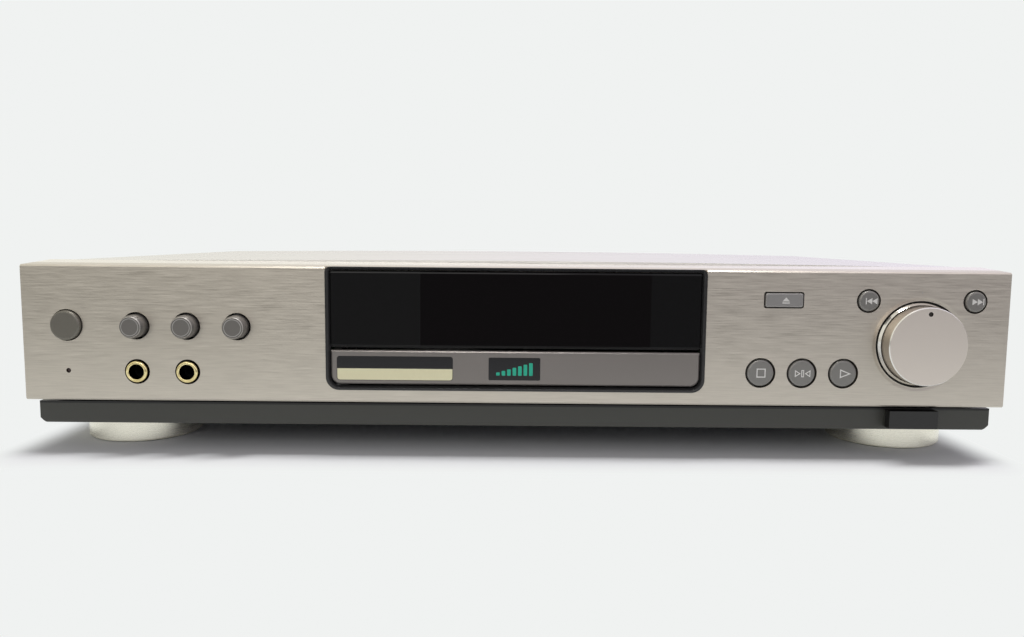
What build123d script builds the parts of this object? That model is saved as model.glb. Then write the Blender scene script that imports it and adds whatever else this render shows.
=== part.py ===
from build123d import *
from math import acos, cos, pi, radians, sin, tan
import os

# A full-width disc player with karaoke inputs, all sizes in millimetres.
# X runs to the right as seen from the front, Y to the back, Z up, and the shelf is at Z = 0.
# While it is being built the front panel's face lies in Y = 0; heights that end in _H are
# measured up from the panel's lower edge. The finished pieces are then centred front to back.

# Case
CASE_W = 430.0
PANEL_H = 59.4
PANEL_CLEAR = 24.0
BODY_D = 266.0
SHEET_T = 1.0
SEAT_GAP = 0.3
RUN_GAP = 0.08
LOOSE_GAP = 0.1

# Front panel, a brushed aluminium extrusion
PANEL_T = 2.5
PANEL_EDGE = 0.7
RETURN_D = 24.0
RETURN_T = 1.5
RETURN_RISE = 1.5
LOWER_RETURN_D = 8.0

# Moulded frame behind the front panel
FRAME_T = 2.0
FRAME_WALL = 1.8
FRAME_D = 22.0
FRAME_LOWER_D = 18.0
FRAME_END_INSET = 0.8
FRAME_END_WALL = 2.6
FRAME_PANEL_GAP = 0.2
BOSS_R = 2.5
BOSS_HIGH_DROP = 7.4
BOSS_LOW_H = 6.5
BOSS_BESIDE_WINDOW = 17.0
BOSS_BESIDE_POWER = 14.8
BOSS_POWER_STEP = 4.2
BOSS_LEFT_STEP = 10.0
BOARD_Y = 16.5
BOARD_T = 1.6
FRONT_BOARD_LOW_H = 4.0
FRONT_BOARD_WALL_GAP = 0.5
FRONT_BOARD_TRAY_GAP = 2.5
FRONT_BOARD_TRAY_TOP_GAP = 1.4
FRONT_BOARD_JACK_GAP = 1.5
FRONT_BOARD_JACK_TOP_GAP = 1.0

# Plinth under the front panel
PLINTH_H = 10.0
PLINTH_DROP = 1.7
PLINTH_SET_BACK = 6.0
PLINTH_INSET = 2.3
PLINTH_CORNER = 2.4
PLINTH_EDGE = 1.4
PLINTH_WALL = 2.2
BADGE_W = 21.5
BADGE_H = 7.8
BADGE_PROUD = 5.6
BADGE_FROM_END = 38.75

# Feet
FOOT_R = 25.75
FOOT_FROM_END = 33.0
FOOT_FROM_FRONT = 44.0
FOOT_EDGE = 0.8
PAD_R = 23.5
PAD_T = 2.5
PAD_PROUD = 0.5
PAD_HOLE_R = 5.0
FOOT_SCREW_DEPTH = 4.0
FOOT_HEAD_GAP = 0.8
FOOT_HOLE_GAP = 0.2

# Screws, one size throughout the case
SCREW_HEAD_R = 2.8
SCREW_HEAD_T = 1.8
SCREW_R = 1.45
SCREW_L = 6.0
SCREW_HOLE_R = 1.5
CROSS_L = 2.6
CROSS_W = 0.6
CROSS_DEPTH = 0.6

# Top cover, folded sheet with a slight crown
COVER_INSET = 0.5
COVER_SIDE_RISE = 1.0
COVER_CROWN = 1.6
COVER_BEND_R = 2.5
COVER_GAP = 0.2
COVER_LOW_Z = 15.0
COVER_FLANGE_H = 9.0
DIMPLE_R = 7.0
DIMPLE_FLAT_R = 4.6
DIMPLE_DEPTH = 1.9
SIDE_SCREW_Z = 27.0
SIDE_SCREW_FRONT_Y = 90.0
SIDE_SCREW_BACK = 41.0
COVER_SCREW_FROM_END = 25.0
COVER_SCREW_DROP = 4.6

# Chassis pan
PAN_FLANGE_H = 22.0
PAN_LIP_H = 3.7
PAN_BACK_LIP_H = 6.0
PAN_FRONT_Y = 24.2
TAB_H = 6.0
TAB_D = 10.2
POST_R = 5.0
POST_H = 2.0
BOARD_POST_R = 3.0
BOARD_POST_H = 6.0
VENT_W = 3.0
VENT_PITCH = 8.0
VENT_COUNT = 12
PAN_VENT_Y = 125.0
PAN_VENT_L = 50.0
REAR_VENT_L = 24.0
REAR_SCREW_FROM_END = 15.0
REAR_SCREW_H = 3.7
POST_MARGIN = 5.0

# Display window and its surround
SURROUND_LOW_H = 5.6
SURROUND_PROUD = 1.0
SURROUND_TOP_RISE = 0.2
SURROUND_SIDE = 2.0
SURROUND_TOP = 1.4
SURROUND_CORNER = 5.75
SURROUND_TOP_CORNER = 2.5
SURROUND_BEVEL = 1.2
WINDOW_LOW_H = 25.2
WINDOW_PROUD = 0.7
WINDOW_GAP = 0.6
WINDOW_EDGE = 1.2
WINDOW_SEAT = 3.6
TUBE_W = 100.3
TUBE_X = 8.65
TUBE_MARGIN = 2.6
TUBE_D = 7.5
TUBE_EDGE = 0.8

# Disc tray
TRAY_FRONT_OVERHANG = 6.5
TRAY_FRONT_GAP = 0.4
TRAY_FRONT_LOW_H = 8.35
TRAY_FRONT_HIGH_H = 23.2
TRAY_FRONT_PROUD = 1.0
TRAY_FRONT_T = 3.4
TRAY_FRONT_CORNER = 4.0
TRAY_FRONT_EDGE = 0.6
TRAY_OPENING_GAP = 0.9
TRAY_W = 148.0
TRAY_L = 198.0
TRAY_T = 5.0
TRAY_Z = 37.5
DISC_R = 60.0
DISC_SEAT_GAP = 1.5
DISC_SEAT_DEPTH = 3.0
SMALL_DISC_R = 41.0
SMALL_DISC_DEPTH = 1.0
DISC_Y = 80.0
UPSTAND_INSET = 4.0
UPSTAND_T = 2.6
UPSTAND_LOW_GAP = 1.7
UPSTAND_HIGH_GAP = 2.0
SLOT_HALF_W = 21.0
RACK_BACK = 4.0
RACK_FROM_SIDE = 8.0
RACK_W = 4.0
RACK_FROM_FRONT = 12.0
RACK_H = 4.1

# Loading mechanism
LOADER_BACK_Y = 212.0
LOADER_WALL = 3.8
LOADER_SIDE_GAP = 0.5
LOADER_FLOOR_T = 2.0
LOADER_TOP_Z = 47.0
LEDGE_W = 4.5
LEDGE_T = 2.7
GUIDE_T = 2.0
GUIDE_L = 12.0
GUIDE_FROM_FRONT = 2.0
EAR_L = 14.0
EAR_W = 12.5
EAR_Y_FRONT = 32.0
EAR_Y_BACK = 198.0
GROMMET_R = 5.0
GROMMET_H = 2.7
GEAR_PRESSURE = 20.0
GEAR_BACKLASH = 0.3
TRAY_MODULE = 1.5
TRAY_GEAR_TEETH = 16
WHEEL_MODULE = 1.0
WHEEL_TEETH = 30
PINION_TEETH = 12
GEAR_Y = 36.0
GEAR_T = 3.5
WHEEL_T = 3.0
WHEEL_Z = 26.0
GEAR_HUB_R = 5.0
AXLE_R = 2.5
PULLEY_AXLE_R = 2.0
AXLE_SHOULDER = 2.0
PULLEY_AXLE_SHOULDER = 1.5
PULLEY_R = 13.0
PULLEY_T = 3.3
GROOVE_DEPTH = 1.0
GROOVE_MOUTH_GAP = 0.7
GROOVE_FLOOR_GAP = 0.2
BELT_T = 1.0
BELT_GAP = 0.1
BELT_CENTRES = 37.5
MOTOR_R = 11.0
MOTOR_H = 9.4
MOTOR_EDGE = 1.0
MOTOR_SHAFT_R = 1.0
MOTOR_PULLEY_R = 3.5

# Lift cam and traverse
CAM_Y = 53.0
CAM_T = 2.0
CAM_HALF_L = 44.0
CAM_Z = 20.3
CAM_TOP_Z = 36.0
CAM_TRAVEL = 12.0
CAM_PIN_X = 25.0
CAM_PIN_R = 1.5
CAM_SLOT_GAP = 0.25
CAM_PIN_Z = 31.0
CAM_PIN_REACH = 0.6
CAM_GUIDE_INNER_X = 20.0
CAM_GUIDE_OUTER_X = 35.0
CAM_GUIDE_L = 8.0
CAM_GUIDE_T = 1.3
CAM_GUIDE_H = 2.0
LIFT_DEG = 3.2
TRAVERSE_HALF_W = 42.0
TRAVERSE_FRONT_Y = 57.3
TRAVERSE_BACK_Y = 176.0
DECK_Z = 29.0
DECK_T = 4.0
HINGE_Y = 170.0
HINGE_Z = 31.0
HINGE_R = 1.9
HINGE_BRACKET_T = 3.0
HINGE_BRACKET_FRONT = 6.0
HINGE_BRACKET_RISE = 4.5
HINGE_SIDE_GAP = 1.5
WELL_HALF_W = 28.0
WELL_FRONT_Y = 94.0
WELL_BACK_Y = 166.0
BAY_HALF_W = 48.0
BAY_FRONT_Y = 57.0
BAY_BACK_Y = 190.0

# Spindle, turntable and clamper
SPINDLE_MOTOR_R = 12.0
SPINDLE_MOTOR_H = 8.0
SPINDLE_R = 1.5
SPINDLE_TOP_Z = 43.0
TURNTABLE_R = 15.0
TURNTABLE_T = 2.5
TURNTABLE_SLEEVE_R = 5.0
DISC_PLANE_Z = 42.2
HUB_R = 7.4
HUB_H = 1.4
HUB_TAPER = 0.8
BRIDGE_Y_HALF = 18.0
BRIDGE_T = 1.5
BRIDGE_HOLE_R = 11.0
BRIDGE_CORNER = 4.0
CLAMPER_R = 14.5
CLAMPER_PAD_R = 14.0
CLAMPER_PAD_Z = 43.5
CLAMPER_NECK_GAP = 0.5
CLAMPER_T = 1.5
CLAMPER_CAVITY_GAP = 0.8
CLAMPER_CAVITY_RISE = 1.7

# Pickup and its feed
ROD_X = 24.0
ROD_R = 1.5
PICKUP_START_Y = 94.5
PICKUP_L = 30.0
PICKUP_HALF_W = 20.0
PICKUP_Z = 27.0
PICKUP_TOP_Z = 36.0
BUSH_W = 7.0
BUSH_H = 4.2
LENS_Y = 104.0
LENS_R = 3.4
LENS_HOLDER = 11.0
LENS_HOLDER_T = 2.3
LENS_LIFT = 0.7
LENS_HOLDER_CORNER = 1.5
LENS_RIM_H = 0.2
LENS_SHOULDER_H = 0.8
LENS_DOME_H = 1.0
SHROUD_T = 1.5
SHROUD_H = 2.5
SHROUD_GAP = 0.7
FEED_RACK_X = 28.0
FEED_RACK_W = 2.2
FEED_RACK_L = 50.0
FEED_RACK_Z = 35.0
FEED_RACK_T = 2.0
FEED_MODULE = 0.8
FEED_TEETH = 12
FEED_WHEEL_MODULE = 0.5
FEED_WHEEL_TEETH = 40
FEED_PINION_TEETH = 12
FEED_GEAR_Y = 134.0
FEED_WHEEL_T = 1.5
FEED_AXLE_R = 1.2
FEED_MOTOR_R = 7.5
FEED_MOTOR_H = 11.5
FEED_SHAFT_R = 0.75
FEED_MOTOR_EDGE = 0.8

# Controls on the front panel: places are measured from the nearer end of the panel
POWER_FROM_END = 19.2
POWER_H = 33.1
POWER_R = 6.5
POWER_GAP = 0.48
POWER_PROUD = 2.0
POWER_TRAVEL = 2.0
LAMP_H = 13.1
LAMP_R = 0.85
LAMP_GAP = 0.2
LAMP_RECESS = 0.5
LAMP_EDGE = 0.25
KNOB_FROM_END = 49.3
KNOB_PITCH = 22.05
KNOB_H = 33.0
KNOB_R = 5.1
KNOB_FACE_R = 4.3
KNOB_GAP = 0.95
KNOB_PROUD = 6.0
KNOB_CHAMFER = 1.7
KNOB_NOTCH_W = 0.6
KNOB_NOTCH_DEPTH = 0.2
KNOB_BACK_GAP = 0.5
MIC_1_DEG = 35.0
MIC_2_DEG = 150.0
ECHO_DEG = 150.0
SHAFT_R = 3.0
SHAFT_END_Y = 13.0
POT_FRONT_Y = 9.5
POT_HALF_W = 6.0
JACK_H = 12.85
JACK_BORE_R = 3.3
JACK_RING_R = 4.7
JACK_RING_PROUD = 1.3
JACK_RING_EDGE = 0.7
JACK_HOLE_GAP = 0.8
JACK_DEPTH = 27.5
JACK_BACK_WALL = 2.0
JACK_HALF_W = 6.0
JACK_HALF_H = 6.5
EJECT_FROM_END = 98.4
EJECT_H = 46.7
EJECT_W = 16.3
EJECT_TALL = 6.0
EJECT_GAP = 0.6
EJECT_CORNER = 0.8
TRANSPORT_ROOM_LEFT = 17.95
TRANSPORT_ROOM_RIGHT = 5.5
TRANSPORT_PITCH = 18.15
TRANSPORT_H = 14.6
TRANSPORT_R = 5.85
TRANSPORT_GAP = 0.8
TRANSPORT_PROUD = 0.4
SKIP_SPREAD = 23.2
SKIP_H = 46.65
SKIP_R = 4.5
SKIP_GAP = 0.75
SKIP_PROUD = 0.9
DIAL_FROM_END = 38.35
DIAL_H = 27.7
DIAL_PROUD = 8.2
DIAL_FACE_R = 17.0
DIAL_R = 17.5
DIAL_FLANGE_R = 18.3
DIAL_FLANGE_T = 1.2
DIAL_BEVEL = 0.4
DIAL_GAP = 0.85
DIAL_BACK_Y = 1.5
DIAL_HUB_R = 5.0
DIAL_DIMPLE_R = 1.0
DIAL_DIMPLE_OUT = 14.05
DIAL_DIMPLE_DEPTH = 0.4
DISH_R = 20.7
DISH_FLOOR_R = 19.6
DISH_DEPTH = 0.12
ENCODER_FRONT_Y = 9.0
ENCODER_HALF_W = 8.0
BUTTON_TRAVEL = 0.8
BUTTON_EDGE = 0.9
FLANGE_OVERLAP = 1.0
BUTTON_FLANGE_T = 1.0
STEM_R = 2.0
SWITCH_HALF_W = 3.0
SWITCH_T = 3.5
PLUNGER_R = 1.7
PLUNGER_L = 0.8
SWITCH_REST_GAP = 0.2

# Boards and the parts on them
BOARD_EDGE_GAP = 10.0
BOARD_EAR_GAP = 4.0
MAIN_BOARD_FRONT_Y = 50.0
MAIN_BOARD_STEP_Y = 218.0
MAIN_BOARD_STEP_X = 60.0
BOARD_BACK_GAP = 8.0
POWER_BOARD_FRONT_Y = 95.0
POWER_BOARD_BACK_GAP = 22.0
POWER_BLOCK_W = 34.0
POWER_BLOCK_L = 30.0
POWER_BLOCK_H = 26.0
POWER_BLOCK_WINDOW = 4.0
POWER_BLOCK_YOKE = 5.0
POWER_BLOCK_EDGE = 1.0
POWER_BLOCK_FROM_FRONT = 45.0
CAPACITOR_R = 9.0
CAPACITOR_H = 26.0
CAPACITOR_PITCH = 24.0
CAPACITOR_FROM_EDGE = 14.0
CAPACITOR_FROM_FRONT = 25.0
CAPACITOR_EDGE = 1.2
SINK_FROM_FRONT = 35.0
SINK_FROM_EDGE = 12.0
SINK_L = 60.0
SINK_H = 32.0
SINK_T = 3.0
SINK_FIN_L = 9.0
SINK_FIN_T = 1.5
SINK_FIN_PITCH = 8.0
SINK_FINS = 8
CHIP_H = 2.4
CHIP_LARGE = 28.0
CHIP_MIDDLE = 20.0
CHIP_SMALL = 12.0

# Rear sockets
SOCKET_FROM_END = 26.0
SOCKET_PITCH = 17.0
SOCKET_COLUMNS = 6
SOCKET_LOW_Z = 33.0
SOCKET_ROW_PITCH = 15.0
SOCKET_HALF_W = 7.0
SOCKET_BODY_D = 12.0
PHONO_R = 4.15
PHONO_BORE_R = 1.6
PHONO_L = 9.0
PANEL_HOLE_GAP = 0.9
MINI_DIN_R = 6.0
MINI_DIN_BORE_R = 4.75
MINI_DIN_L = 1.5
MINI_DIN_DEPTH = 8.0
INLET_FROM_END = 35.0
INLET_Z = 36.0
INLET_HALF_W = 12.0
INLET_HALF_H = 8.0
INLET_BORE_HALF_W = 9.3
INLET_BORE_HALF_H = 5.2
INLET_FLANGE = 3.0
INLET_FLANGE_T = 2.0
INLET_D = 18.0
INLET_BORE_D = 14.0
INLET_PIN_X = 4.3
INLET_PIN_R = 1.2
INLET_PIN_SET_BACK = 4.0
INLET_CORNER = 4.0
INLET_FLANGE_CORNER = 1.5

# Places worked out from the sizes above
HALF_W = CASE_W / 2
PANEL_TOP_Z = PANEL_CLEAR + PANEL_H
BASE_Z = PANEL_CLEAR - PLINTH_DROP - PLINTH_H
PAN_Z = BASE_Z + SHEET_T
BACK_Y = BODY_D - SHEET_T
FRAME_Y = PANEL_T + FRAME_T
COVER_HALF_W = HALF_W - COVER_INSET
PAN_HALF_W = COVER_HALF_W - SHEET_T - DIMPLE_DEPTH
COVER_SIDE_Z = PANEL_TOP_Z + COVER_SIDE_RISE
COVER_TOP_Z = COVER_SIDE_Z + COVER_CROWN
BOARD_Z = PAN_Z + BOARD_POST_H
LOADER_FRONT_Y = PAN_FRONT_Y + SEAT_GAP
LOADER_Z = PAN_Z + POST_H + GROMMET_H
LOADER_FLOOR_Z = LOADER_Z + LOADER_FLOOR_T
LOADER_INNER = TRAY_W / 2 + LOADER_SIDE_GAP
LOADER_HALF_W = LOADER_INNER + LOADER_WALL
EAR_X = LOADER_HALF_W + EAR_W / 2
TRAY_TOP_Z = TRAY_Z + TRAY_T
TRAY_FRONT_BACK_Y = TRAY_FRONT_T - TRAY_FRONT_PROUD
TRAY_FRONT_HALF_W = TRAY_W / 2 + TRAY_FRONT_OVERHANG
WINDOW_OPENING_HALF_W = TRAY_FRONT_HALF_W + TRAY_FRONT_GAP
SURROUND_HALF_W = WINDOW_OPENING_HALF_W + SURROUND_SIDE
DISC_SEAT_R = DISC_R + DISC_SEAT_GAP
DECK_TOP_Z = DECK_Z + DECK_T
POWER_X = POWER_FROM_END - HALF_W
KNOB_XS = [KNOB_FROM_END - HALF_W + i * KNOB_PITCH for i in range(3)]
JACK_XS = KNOB_XS[:2]
EJECT_X = HALF_W - EJECT_FROM_END
DIAL_X = HALF_W - DIAL_FROM_END
TRANSPORT_HOLE_R = TRANSPORT_R + TRANSPORT_GAP
TRANSPORT_ROW_W = 2 * TRANSPORT_PITCH + 2 * TRANSPORT_HOLE_R
TRANSPORT_ROOM = DIAL_X - DISH_R - SURROUND_HALF_W - TRANSPORT_ROW_W
TRANSPORT_ROOM_SHARE = TRANSPORT_ROOM_LEFT / (TRANSPORT_ROOM_LEFT + TRANSPORT_ROOM_RIGHT)
STOP_X = SURROUND_HALF_W + TRANSPORT_ROOM * TRANSPORT_ROOM_SHARE + TRANSPORT_HOLE_R
PAUSE_X = STOP_X + TRANSPORT_PITCH
PLAY_X = PAUSE_X + TRANSPORT_PITCH
SKIP_BACK_X = DIAL_X - SKIP_SPREAD
SKIP_FORWARD_X = DIAL_X + SKIP_SPREAD
SWITCH_TIP_Y = BOARD_Y - SWITCH_T - PLUNGER_L
FEET = [(sx * (HALF_W - FOOT_FROM_END), y) for sx in (-1, 1)
        for y in (FOOT_FROM_FRONT, BODY_D - FOOT_FROM_FRONT)]
EARS = [(sx * EAR_X, y) for sx in (-1, 1) for y in (EAR_Y_FRONT, EAR_Y_BACK)]
SIDE_SCREW_YS = (SIDE_SCREW_FRONT_Y, BODY_D - SIDE_SCREW_BACK)
REAR_SCREW_END_X = HALF_W - REAR_SCREW_FROM_END
REAR_SCREW_XS = (-REAR_SCREW_END_X, -LOADER_HALF_W, LOADER_HALF_W, REAR_SCREW_END_X)
REAR_SCREW_Z = PAN_Z + REAR_SCREW_H
COVER_SCREW_END_X = HALF_W - COVER_SCREW_FROM_END
COVER_SCREW_XS = (-COVER_SCREW_END_X, 0.0, COVER_SCREW_END_X)
COVER_SCREW_Z = COVER_SIDE_Z - COVER_SCREW_DROP
SOCKET_XS = [HALF_W - SOCKET_FROM_END - i * SOCKET_PITCH for i in range(SOCKET_COLUMNS)]
MINI_DIN_X = SOCKET_XS[-1] - 1.3 * SOCKET_PITCH
SOCKET_HIGH_Z = SOCKET_LOW_Z + SOCKET_ROW_PITCH
INLET_X = INLET_FROM_END - HALF_W
MAIN_BOARD_X = EAR_X + EAR_W / 2 + BOARD_EAR_GAP
BOARD_OUTER_X = HALF_W - BOARD_EDGE_GAP
BOARD_TOP_Z = BOARD_Z + BOARD_T
TRAY_GEAR_PITCH_R = TRAY_MODULE * TRAY_GEAR_TEETH / 2
WHEEL_PITCH_R = WHEEL_MODULE * WHEEL_TEETH / 2
PINION_PITCH_R = WHEEL_MODULE * PINION_TEETH / 2
RACK_X = RACK_FROM_SIDE - TRAY_W / 2
RACK_PITCH_X = RACK_X + RACK_W + TRAY_MODULE
TRAY_GEAR_X = RACK_PITCH_X + TRAY_GEAR_PITCH_R
TRAY_GEAR_TOP_Z = TRAY_Z - 2 * SEAT_GAP
PULLEY_X = TRAY_GEAR_X + WHEEL_PITCH_R + PINION_PITCH_R
MOTOR_X = PULLEY_X + BELT_CENTRES
PULLEY_TOP_Z = TRAY_GEAR_TOP_Z - GEAR_T - SEAT_GAP
BELT_Z = PULLEY_TOP_Z - PULLEY_T / 2
PULLEY_GROOVE_R = PULLEY_R - GROOVE_DEPTH
MOTOR_GROOVE_R = MOTOR_PULLEY_R - GROOVE_DEPTH
FEED_PITCH_R = FEED_MODULE * FEED_TEETH / 2
FEED_WHEEL_R = FEED_WHEEL_MODULE * FEED_WHEEL_TEETH / 2
FEED_PINION_R = FEED_WHEEL_MODULE * FEED_PINION_TEETH / 2
FEED_GEAR_X = FEED_RACK_X + FEED_RACK_W + FEED_MODULE + FEED_PITCH_R
FEED_PINION_Y = FEED_GEAR_Y + FEED_WHEEL_R + FEED_PINION_R
CAM_PIN_Y = CAM_Y + CAM_T / 2
CAM_DROP = (HINGE_Y - CAM_PIN_Y) * sin(radians(LIFT_DEG))
FRONT_Y = -DIAL_PROUD
REAR_Y = BODY_D + PHONO_L
CENTRE_SHIFT = -(FRONT_Y + REAR_Y) / 2


def up(height):
    """Height above the shelf of a point measured from the panel's lower edge."""
    return PANEL_CLEAR + height


# Plain shapes

def block(x0, x1, y0, y1, z0, z1):
    return Pos((x0 + x1) / 2, (y0 + y1) / 2, (z0 + z1) / 2) * Box(x1 - x0, y1 - y0, z1 - z0)


def rod_x(y, z, r, x0, x1):
    return Pos((x0 + x1) / 2, y, z) * Rot(0, 90, 0) * Cylinder(r, x1 - x0)


def rod_y(x, z, r, y0, y1):
    return Pos(x, (y0 + y1) / 2, z) * Rot(90, 0, 0) * Cylinder(r, y1 - y0)


def rod_z(x, y, r, z0, z1):
    return Pos(x, y, (z0 + z1) / 2) * Cylinder(r, z1 - z0)


def outline(points):
    return make_face(Polyline(*points, close=True))


def turned_y(x, z, points):
    """Solid of revolution about a line along Y, from (radius, y) points."""
    return Pos(x, 0, z) * revolve(outline(points), Axis.Y)


def turned_z(x, y, points):
    """Solid of revolution about a line along Z, from (radius, z) points."""
    return Pos(x, y, 0) * Rot(90, 0, 0) * revolve(outline(points), Axis.Y)


def slab_x(face, x0, x1):
    """A (y, z) face drawn out along X."""
    return Pos(x0, 0, 0) * extrude(Plane.YZ * face, x1 - x0)


def slab_y(face, y0, y1):
    """An (x, z) face drawn out along Y."""
    return Pos(0, y1, 0) * extrude(Plane.XZ * face, y1 - y0)


def slab_z(face, z0, z1):
    """An (x, y) face drawn out along Z."""
    return Pos(0, 0, z0) * extrude(face, z1 - z0)


def rectangle(x0, x1, z0, z1):
    return Pos((x0 + x1) / 2, (z0 + z1) / 2) * Rectangle(x1 - x0, z1 - z0)


def group(pieces):
    """Separate solids of one kind, kept together under one name."""
    return Compound([solid for piece in pieces for solid in piece.solids()])


# Gears

def gear_face(teeth, module, mid_deg):
    """Spur gear outline with involute flanks; one tooth is centred on mid_deg."""
    pitch_r = teeth * module / 2
    pressure = radians(GEAR_PRESSURE)
    base_r = pitch_r * cos(pressure)
    tip_r = pitch_r + 0.85 * module
    root_r = pitch_r - 1.2 * module
    half_tooth = pi / (2 * teeth) - GEAR_BACKLASH * module / (2 * pitch_r)

    def half_angle(r):
        roll = acos(min(1.0, base_r / r))
        return half_tooth + tan(pressure) - pressure - tan(roll) + roll

    start_r = max(base_r, root_r)
    radii = [start_r, (start_r + tip_r) / 2, tip_r]
    points = []
    for tooth in range(teeth):
        mid = radians(mid_deg) + 2 * pi * tooth / teeth
        flank = [(r, mid - half_angle(r)) for r in radii]
        if start_r - root_r > 0.01:
            flank.insert(0, (root_r, mid - half_angle(start_r)))
        mirrored = [(r, 2 * mid - angle) for r, angle in reversed(flank)]
        points += [(r * cos(a), r * sin(a)) for r, a in flank + mirrored]
    return outline(points)


def rack_teeth(pitch_x, gap_y, y0, y1, z0, z1, module):
    """Straight rack teeth that point along +X, with a gap between teeth at gap_y."""
    pitch = pi * module
    slope = tan(radians(GEAR_PRESSURE))
    half = pitch / 4 - GEAR_BACKLASH * module / 2
    root_x = pitch_x - module
    tip_x = pitch_x + 0.85 * module
    teeth = []
    first = int((y0 - gap_y) / pitch) - 1
    last = int((y1 - gap_y) / pitch) + 1
    for index in range(first, last + 1):
        y = gap_y + (index + 0.5) * pitch
        root = half + (pitch_x - root_x) * slope
        tip = half - (tip_x - pitch_x) * slope
        if y - root < y0 or y + root > y1:
            continue
        teeth.append(slab_z(outline([(root_x, y - root), (tip_x, y - tip),
                                     (tip_x, y + tip), (root_x, y + root)]), z0, z1))
    return teeth


# Case

def chassis_holes():
    """Screw holes for the feet, the loader, the side screws and the rear panel."""
    holes = [rod_z(x, y, SCREW_HOLE_R, BASE_Z - 1, PAN_Z + 1) for x, y in FEET]
    holes += [rod_z(x, y, SCREW_HOLE_R, BASE_Z - 1, PAN_Z + POST_H + 1) for x, y in EARS]
    holes += [rod_x(y, SIDE_SCREW_Z, SCREW_HOLE_R, sx * PAN_HALF_W - 3, sx * PAN_HALF_W + 3)
              for sx in (-1, 1) for y in SIDE_SCREW_YS]
    holes += [rod_y(x, REAR_SCREW_Z, SCREW_HOLE_R, BACK_Y - 3, BACK_Y + 1) for x in REAR_SCREW_XS]
    return holes


def board_post_places():
    """Where the main board and the power board stand on the pan."""
    outer = BOARD_OUTER_X - POST_MARGIN
    inner = MAIN_BOARD_X + POST_MARGIN
    main_ys = (MAIN_BOARD_FRONT_Y + POST_MARGIN, BACK_Y - BOARD_BACK_GAP - POST_MARGIN)
    power_ys = (POWER_BOARD_FRONT_Y + POST_MARGIN, BACK_Y - POWER_BOARD_BACK_GAP - POST_MARGIN)
    places = [(x, y) for x in (inner, outer) for y in main_ys]
    places += [(-x, y) for x in (inner, outer) for y in power_ys]
    return places


def bottom_chassis():
    flange_top = PAN_Z + PAN_FLANGE_H
    pan = block(-PAN_HALF_W, PAN_HALF_W, PAN_FRONT_Y, BACK_Y, BASE_Z, PAN_Z)
    pieces = [block(-PAN_HALF_W, PAN_HALF_W, PAN_FRONT_Y, PAN_FRONT_Y + SHEET_T, BASE_Z,
                    PAN_Z + PAN_LIP_H),
              block(-PAN_HALF_W, PAN_HALF_W, BACK_Y - SHEET_T, BACK_Y, BASE_Z,
                    PAN_Z + PAN_BACK_LIP_H)]
    for side in (-1, 1):
        x0, x1 = sorted((side * PAN_HALF_W, side * (PAN_HALF_W - SHEET_T)))
        pieces.append(block(x0, x1, PAN_FRONT_Y, BACK_Y, BASE_Z, flange_top))
        pieces.append(block(x0, x1, PAN_FRONT_Y - TAB_D, PAN_FRONT_Y + SHEET_T,
                            flange_top - TAB_H, flange_top))
    pieces += [rod_z(x, y, POST_R, PAN_Z, PAN_Z + POST_H) for x, y in EARS]
    pieces += [rod_z(x, y, BOARD_POST_R, PAN_Z, BOARD_Z) for x, y in board_post_places()]
    vents = []
    for index in range(VENT_COUNT):
        x = (index - (VENT_COUNT - 1) / 2) * VENT_PITCH
        vents.append(slab_z(Pos(x, PAN_VENT_Y) * Rot(0, 0, 90) * SlotOverall(PAN_VENT_L, VENT_W),
                            BASE_Z - 1, PAN_Z + 1))
    return pan + pieces - (vents + chassis_holes())


def cover_outline(inset, low_z):
    """Cross-section of the cover: upright sides, bent edges and a slightly crowned top."""
    half = COVER_HALF_W - inset
    side_z = COVER_SIDE_Z - inset
    bend = COVER_BEND_R - inset
    corner = bend * (1 - cos(pi / 4))
    edges = [Line((-half, low_z), (-half, side_z - bend)),
             ThreePointArc((-half, side_z - bend), (-half + corner, side_z - corner),
                           (-half + bend, side_z)),
             ThreePointArc((-half + bend, side_z), (0, COVER_TOP_Z - inset), (half - bend, side_z)),
             ThreePointArc((half - bend, side_z), (half - corner, side_z - corner),
                           (half, side_z - bend)),
             Line((half, side_z - bend), (half, low_z)),
             Line((half, low_z), (-half, low_z))]
    return make_face(edges)


def dimple(side, y, outer_r, flat_r, lift):
    """Pressed cone round a side screw, moved outwards by lift."""
    depth = DIMPLE_DEPTH
    face = COVER_HALF_W + lift
    cone = Cone(flat_r, outer_r, depth)
    return Pos(side * (face - depth / 2), y, SIDE_SCREW_Z) * Rot(0, side * 90, 0) * cone


def top_cover():
    front = RETURN_D + COVER_GAP
    shell = slab_y(cover_outline(0, COVER_LOW_Z), front, BODY_D + SHEET_T)
    shell -= slab_y(cover_outline(SHEET_T, COVER_LOW_Z - 1), front - 1, BODY_D)
    shell -= block(-HALF_W, HALF_W, BODY_D - 1, BODY_D + 2, 0, COVER_SIDE_Z - COVER_FLANGE_H)
    for side in (-1, 1):
        for y in SIDE_SCREW_YS:
            shell += dimple(side, y, DIMPLE_R, DIMPLE_FLAT_R, -SHEET_T)
            shell -= dimple(side, y, DIMPLE_R, DIMPLE_FLAT_R, 0)
            x = side * COVER_HALF_W
            shell -= rod_x(y, SIDE_SCREW_Z, SCREW_HOLE_R, x - 5, x + 5)
    for x in COVER_SCREW_XS:
        shell -= rod_y(x, COVER_SCREW_Z, SCREW_HOLE_R, BODY_D - 1, BODY_D + 2)
    return shell


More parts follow.
